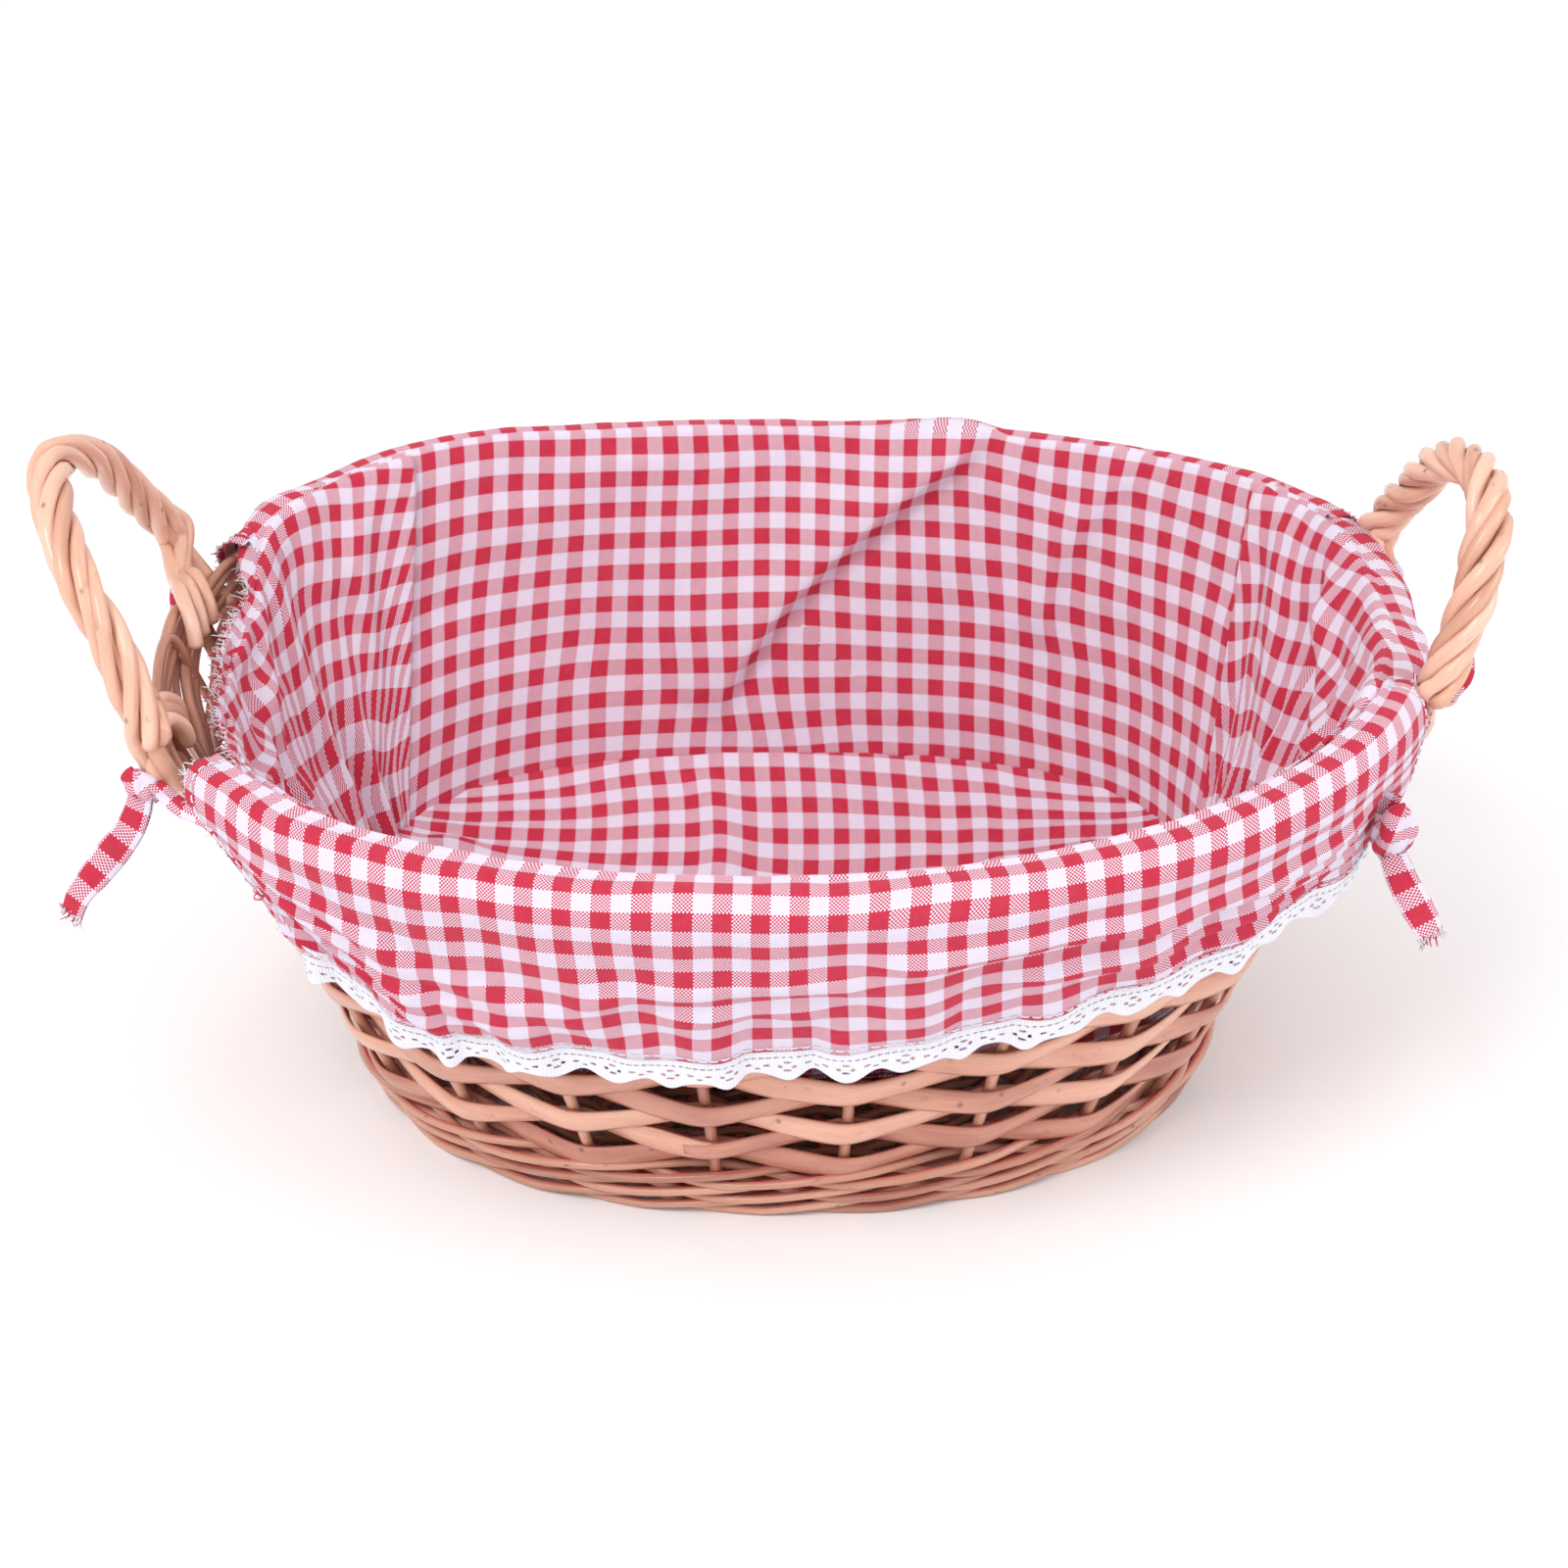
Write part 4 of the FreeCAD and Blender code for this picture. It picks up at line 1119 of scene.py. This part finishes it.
tails = [
    make_tie("left_front_tie",
             [wall_point(-3.15, 130, 5), wall_point(-3.42, 131.5, 9), (-166, -69.5, 130.5),
              (-169.5, -67, 130)], (10, -10, 20, 40), 4.6,
             (-170, -66.8, 129.3), (-0.3, -0.1, 1), 5.2, 10.5,
             [(-170.5, -67.2, 127), (-174, -70, 118), (-181.5, -74, 109), (-188, -77.5, 102),
              (-191, -79, 96)], (30, 10, -12, 8, 35)),
    make_tie("right_front_tie",
             [wall_point(3.45, 128, 5), wall_point(3.66, 126, 8.5), (167, -67, 121)],
             (0, 20, 40), 8, (166.4, -70, 114.5), (0.2, -0.2, 1), 5.4, 20,
             [(166.5, -73, 109.5), (169, -76, 103.5), (173, -80.5, 97), (176.5, -84, 91)],
             (40, 10, -10, -15)),
    make_tie("left_back_tie",
             [wall_point(13.80, 126, 9), wall_point(13.95, 124, 13), (-177.5, 59, 124),
              (-180.5, 60, 126)], (0, 10, 30, 40), 5,
             (-181.5, 60.5, 126), (-0.3, 0.1, 1), 5.2, 10.5,
             [(-181.5, 60.5, 124), (-184, 63, 112), (-188, 66.5, 100), (-189, 70, 89)],
             (0, 10, 20, 0), TO_BACK),
    make_tie("right_back_tie",
             [wall_point(6.18, 126, 9), wall_point(6.05, 124, 13), (178, 57.5, 124),
              (181, 58.5, 126)], (0, -10, -30, -40), 5,
             (182, 59, 126), (0.3, 0.1, 1), 5.2, 10.5,
             [(182, 59.5, 124), (184.5, 62, 112), (188.5, 66, 100), (190, 69, 89)],
             (0, -10, -20, 0), TO_BACK)]
loop, loop_grid, loop_length = ribbon(
    "right_front_tie_loop",
    [(181.5, -48, 144), (186, -44, 148.5), (187, -38, 151), (183, -33, 147.5)],
    (20, 0, 0, 20), 0.5 * LOOP_CLOTH)


# ------------------------------------------------------------------ stitches and frayed threads

STITCH = 2.3
STITCH_GAP = 0.8
STITCH_INSET = 4.0           # from the side edge of a cuff


def add_stitches(pieces, grid, places, lift=0.5):
    """A row of stitches along a path of grid places; the ends of each go down into the cloth."""
    normals = grid_normals(grid)
    path = np.array([grid[place] + lift * normals[place] for place in places])
    below = np.array([grid[place] + 0.1 * normals[place] for place in places])
    lengths = running_length(path)
    start = 0.5
    while start + STITCH < lengths[-1]:
        along = start + STITCH * np.array([0.0, 0.16, 0.5, 0.84, 1.0])
        line = at_lengths(along, lengths, path)
        line[[0, -1]] = at_lengths(along[[0, -1]], lengths, below)
        round_rod(pieces, line, 0.3, sides=6, taper=0.0, bumps=0.0)
        start += STITCH + STITCH_GAP


def make_stitching():
    """Topstitching a little in from the sides of the cuffs, along their hems and down the ties."""
    pieces = Pieces()
    for grid, turn, crest_row in ((front_grid, front_turn, front_crest_row),
                                  (back_grid, back_turn, back_crest_row)):
        columns = grid.shape[1]
        inset = int(round(STITCH_INSET / TURN_LENGTH / (turn[1] - turn[0])))
        for side in (inset, columns - 1 - inset):
            add_stitches(pieces, grid, [(row, side) for row in range(6, crest_row + 10)])
        add_stitches(pieces, grid, [(1, column) for column in range(2, columns - 2)])
    for grid in tails:
        add_stitches(pieces, grid, [(row, 3) for row in range(3, 53)], -0.42)
    pieces.make("liner_stitching", white_thread, "liner", "lace")


def add_threads(pieces, starts, directions, count, low, high, spread):
    """Loose threads of a raw edge: short, fine and curly."""
    for _ in range(count):
        index = int(random.integers(0, len(starts)))
        heading = normalised(directions[index] + random.normal(0.0, spread, 3))
        length = random.uniform(low, high)
        curl = random.normal(0.0, 0.3 * length, (2, 3))
        keys = [starts[index] - 0.8 * heading, starts[index] + 0.45 * length * heading + curl[0] * 0.5,
                starts[index] + length * heading + curl[1]]
        round_rod(pieces, spline(keys, 9), random.uniform(0.16, 0.30), sides=5, taper=0.4, bumps=0.0)


def make_threads(name, material, share):
    """Threads along the raw top of the ends, the cuff sides and the tips of the ties."""
    pieces = Pieces()
    for grid, turn, low_turn, high_turn, count in (
            (left_grid, left_turn, 13.8, 16.7, 170), (left_grid, left_turn, 13.4, 13.9, 8),
            (right_grid, right_turn, 3.6, 4.6, 30)):
        places = np.flatnonzero((turn > low_turn) & (turn < high_turn))
        starts = grid[0, places]
        headings = normalised(starts - grid[2, places]) + 0.8 * wall(turn[places], starts[:, 2])[2]
        add_threads(pieces, starts, headings, int(share * count), 0.8, 3.6, 0.6)
    for grid in (front_grid, back_grid):
        for column, inner in ((0, 2), (-1, -3)):
            starts = grid[4:44, column]
            headings = normalised(starts - grid[4:44, inner])
            add_threads(pieces, starts, headings, int(share * 40), 0.7, 2.2, 0.5)
    for grid in tails:
        add_threads(pieces, grid[-1], normalised(grid[-1] - grid[-4]), int(share * 40), 0.8, 2.6, 0.4)
    pieces.make(name, material, "liner", "gingham")


make_stitching()
make_threads("loose_white_threads", white_thread, 1.0)
make_threads("loose_red_threads", red_thread, 0.5)


# ------------------------------------------------------------------ floor, light and camera

CAMERA_TARGET = Vector((1.16, 0.0, 88.1)) * MM
CAMERA_DISTANCE = 933.4 * MM
CAMERA_YAW = math.radians(1.11)
CAMERA_RISE = math.radians(31.36)
CAMERA_ROLL = math.radians(-0.78)
CAMERA_LENS = 73.125
STUDIO_HALF = 3.0


def make_camera():
    level_reach = math.cos(CAMERA_RISE)
    back = Vector((math.sin(CAMERA_YAW) * level_reach, -math.cos(CAMERA_YAW) * level_reach,
                   math.sin(CAMERA_RISE)))
    level = (-back).cross(Vector((0.0, 0.0, 1.0))).normalized()
    upright = level.cross(-back)
    right = level * math.cos(CAMERA_ROLL) + upright * math.sin(CAMERA_ROLL)
    up = upright * math.cos(CAMERA_ROLL) - level * math.sin(CAMERA_ROLL)
    camera = bpy.data.objects.new("camera", bpy.data.cameras.new("camera"))
    camera.data.lens = CAMERA_LENS
    turned = Matrix((right, up, back)).transposed().to_4x4()
    camera.matrix_world = Matrix.Translation(CAMERA_TARGET + back * CAMERA_DISTANCE) @ turned
    bpy.context.scene.collection.objects.link(camera)
    bpy.context.scene.camera = camera


def add_area_light(name, place, size, power):
    light = bpy.data.lights.new(name, "AREA")
    light.shape = "DISK"
    light.size = size
    light.energy = power
    lamp = bpy.data.objects.new(name, light)
    lamp.location = place
    lamp.rotation_euler = (Vector((0.0, 0.0, 0.06)) - Vector(place)).to_track_quat("-Z", "Y").to_euler()
    bpy.context.scene.collection.objects.link(lamp)


def make_studio():
    mesh = bpy.data.meshes.new("studio_floor")
    corners = ((-1, -1), (1, -1), (1, 1), (-1, 1))
    mesh.from_pydata([(x * STUDIO_HALF, y * STUDIO_HALF, 0.0) for x, y in corners], [], [(0, 1, 2, 3)])
    floor = bpy.data.objects.new("studio_floor", mesh)
    bpy.context.scene.collection.objects.link(floor)
    pale = Shading("pale_floor")
    pale.look(Base_Color=(0.93, 0.93, 0.94), Roughness=0.9)
    mesh.materials.append(pale.material)
    world = bpy.data.worlds.new("studio")
    bpy.context.scene.world = world
    world.use_nodes = True
    background = world.node_tree.nodes["Background"]
    background.inputs["Color"].default_value = (1.0, 0.99, 1.0, 1.0)
    background.inputs["Strength"].default_value = 0.95
    add_area_light("key_light", (-0.7, -1.0, 1.5), 0.9, 16.0)
    add_area_light("side_light", (1.4, -0.4, 0.9), 0.8, 6.0)
    bpy.context.scene.view_settings.view_transform = "Standard"


make_camera()
make_studio()
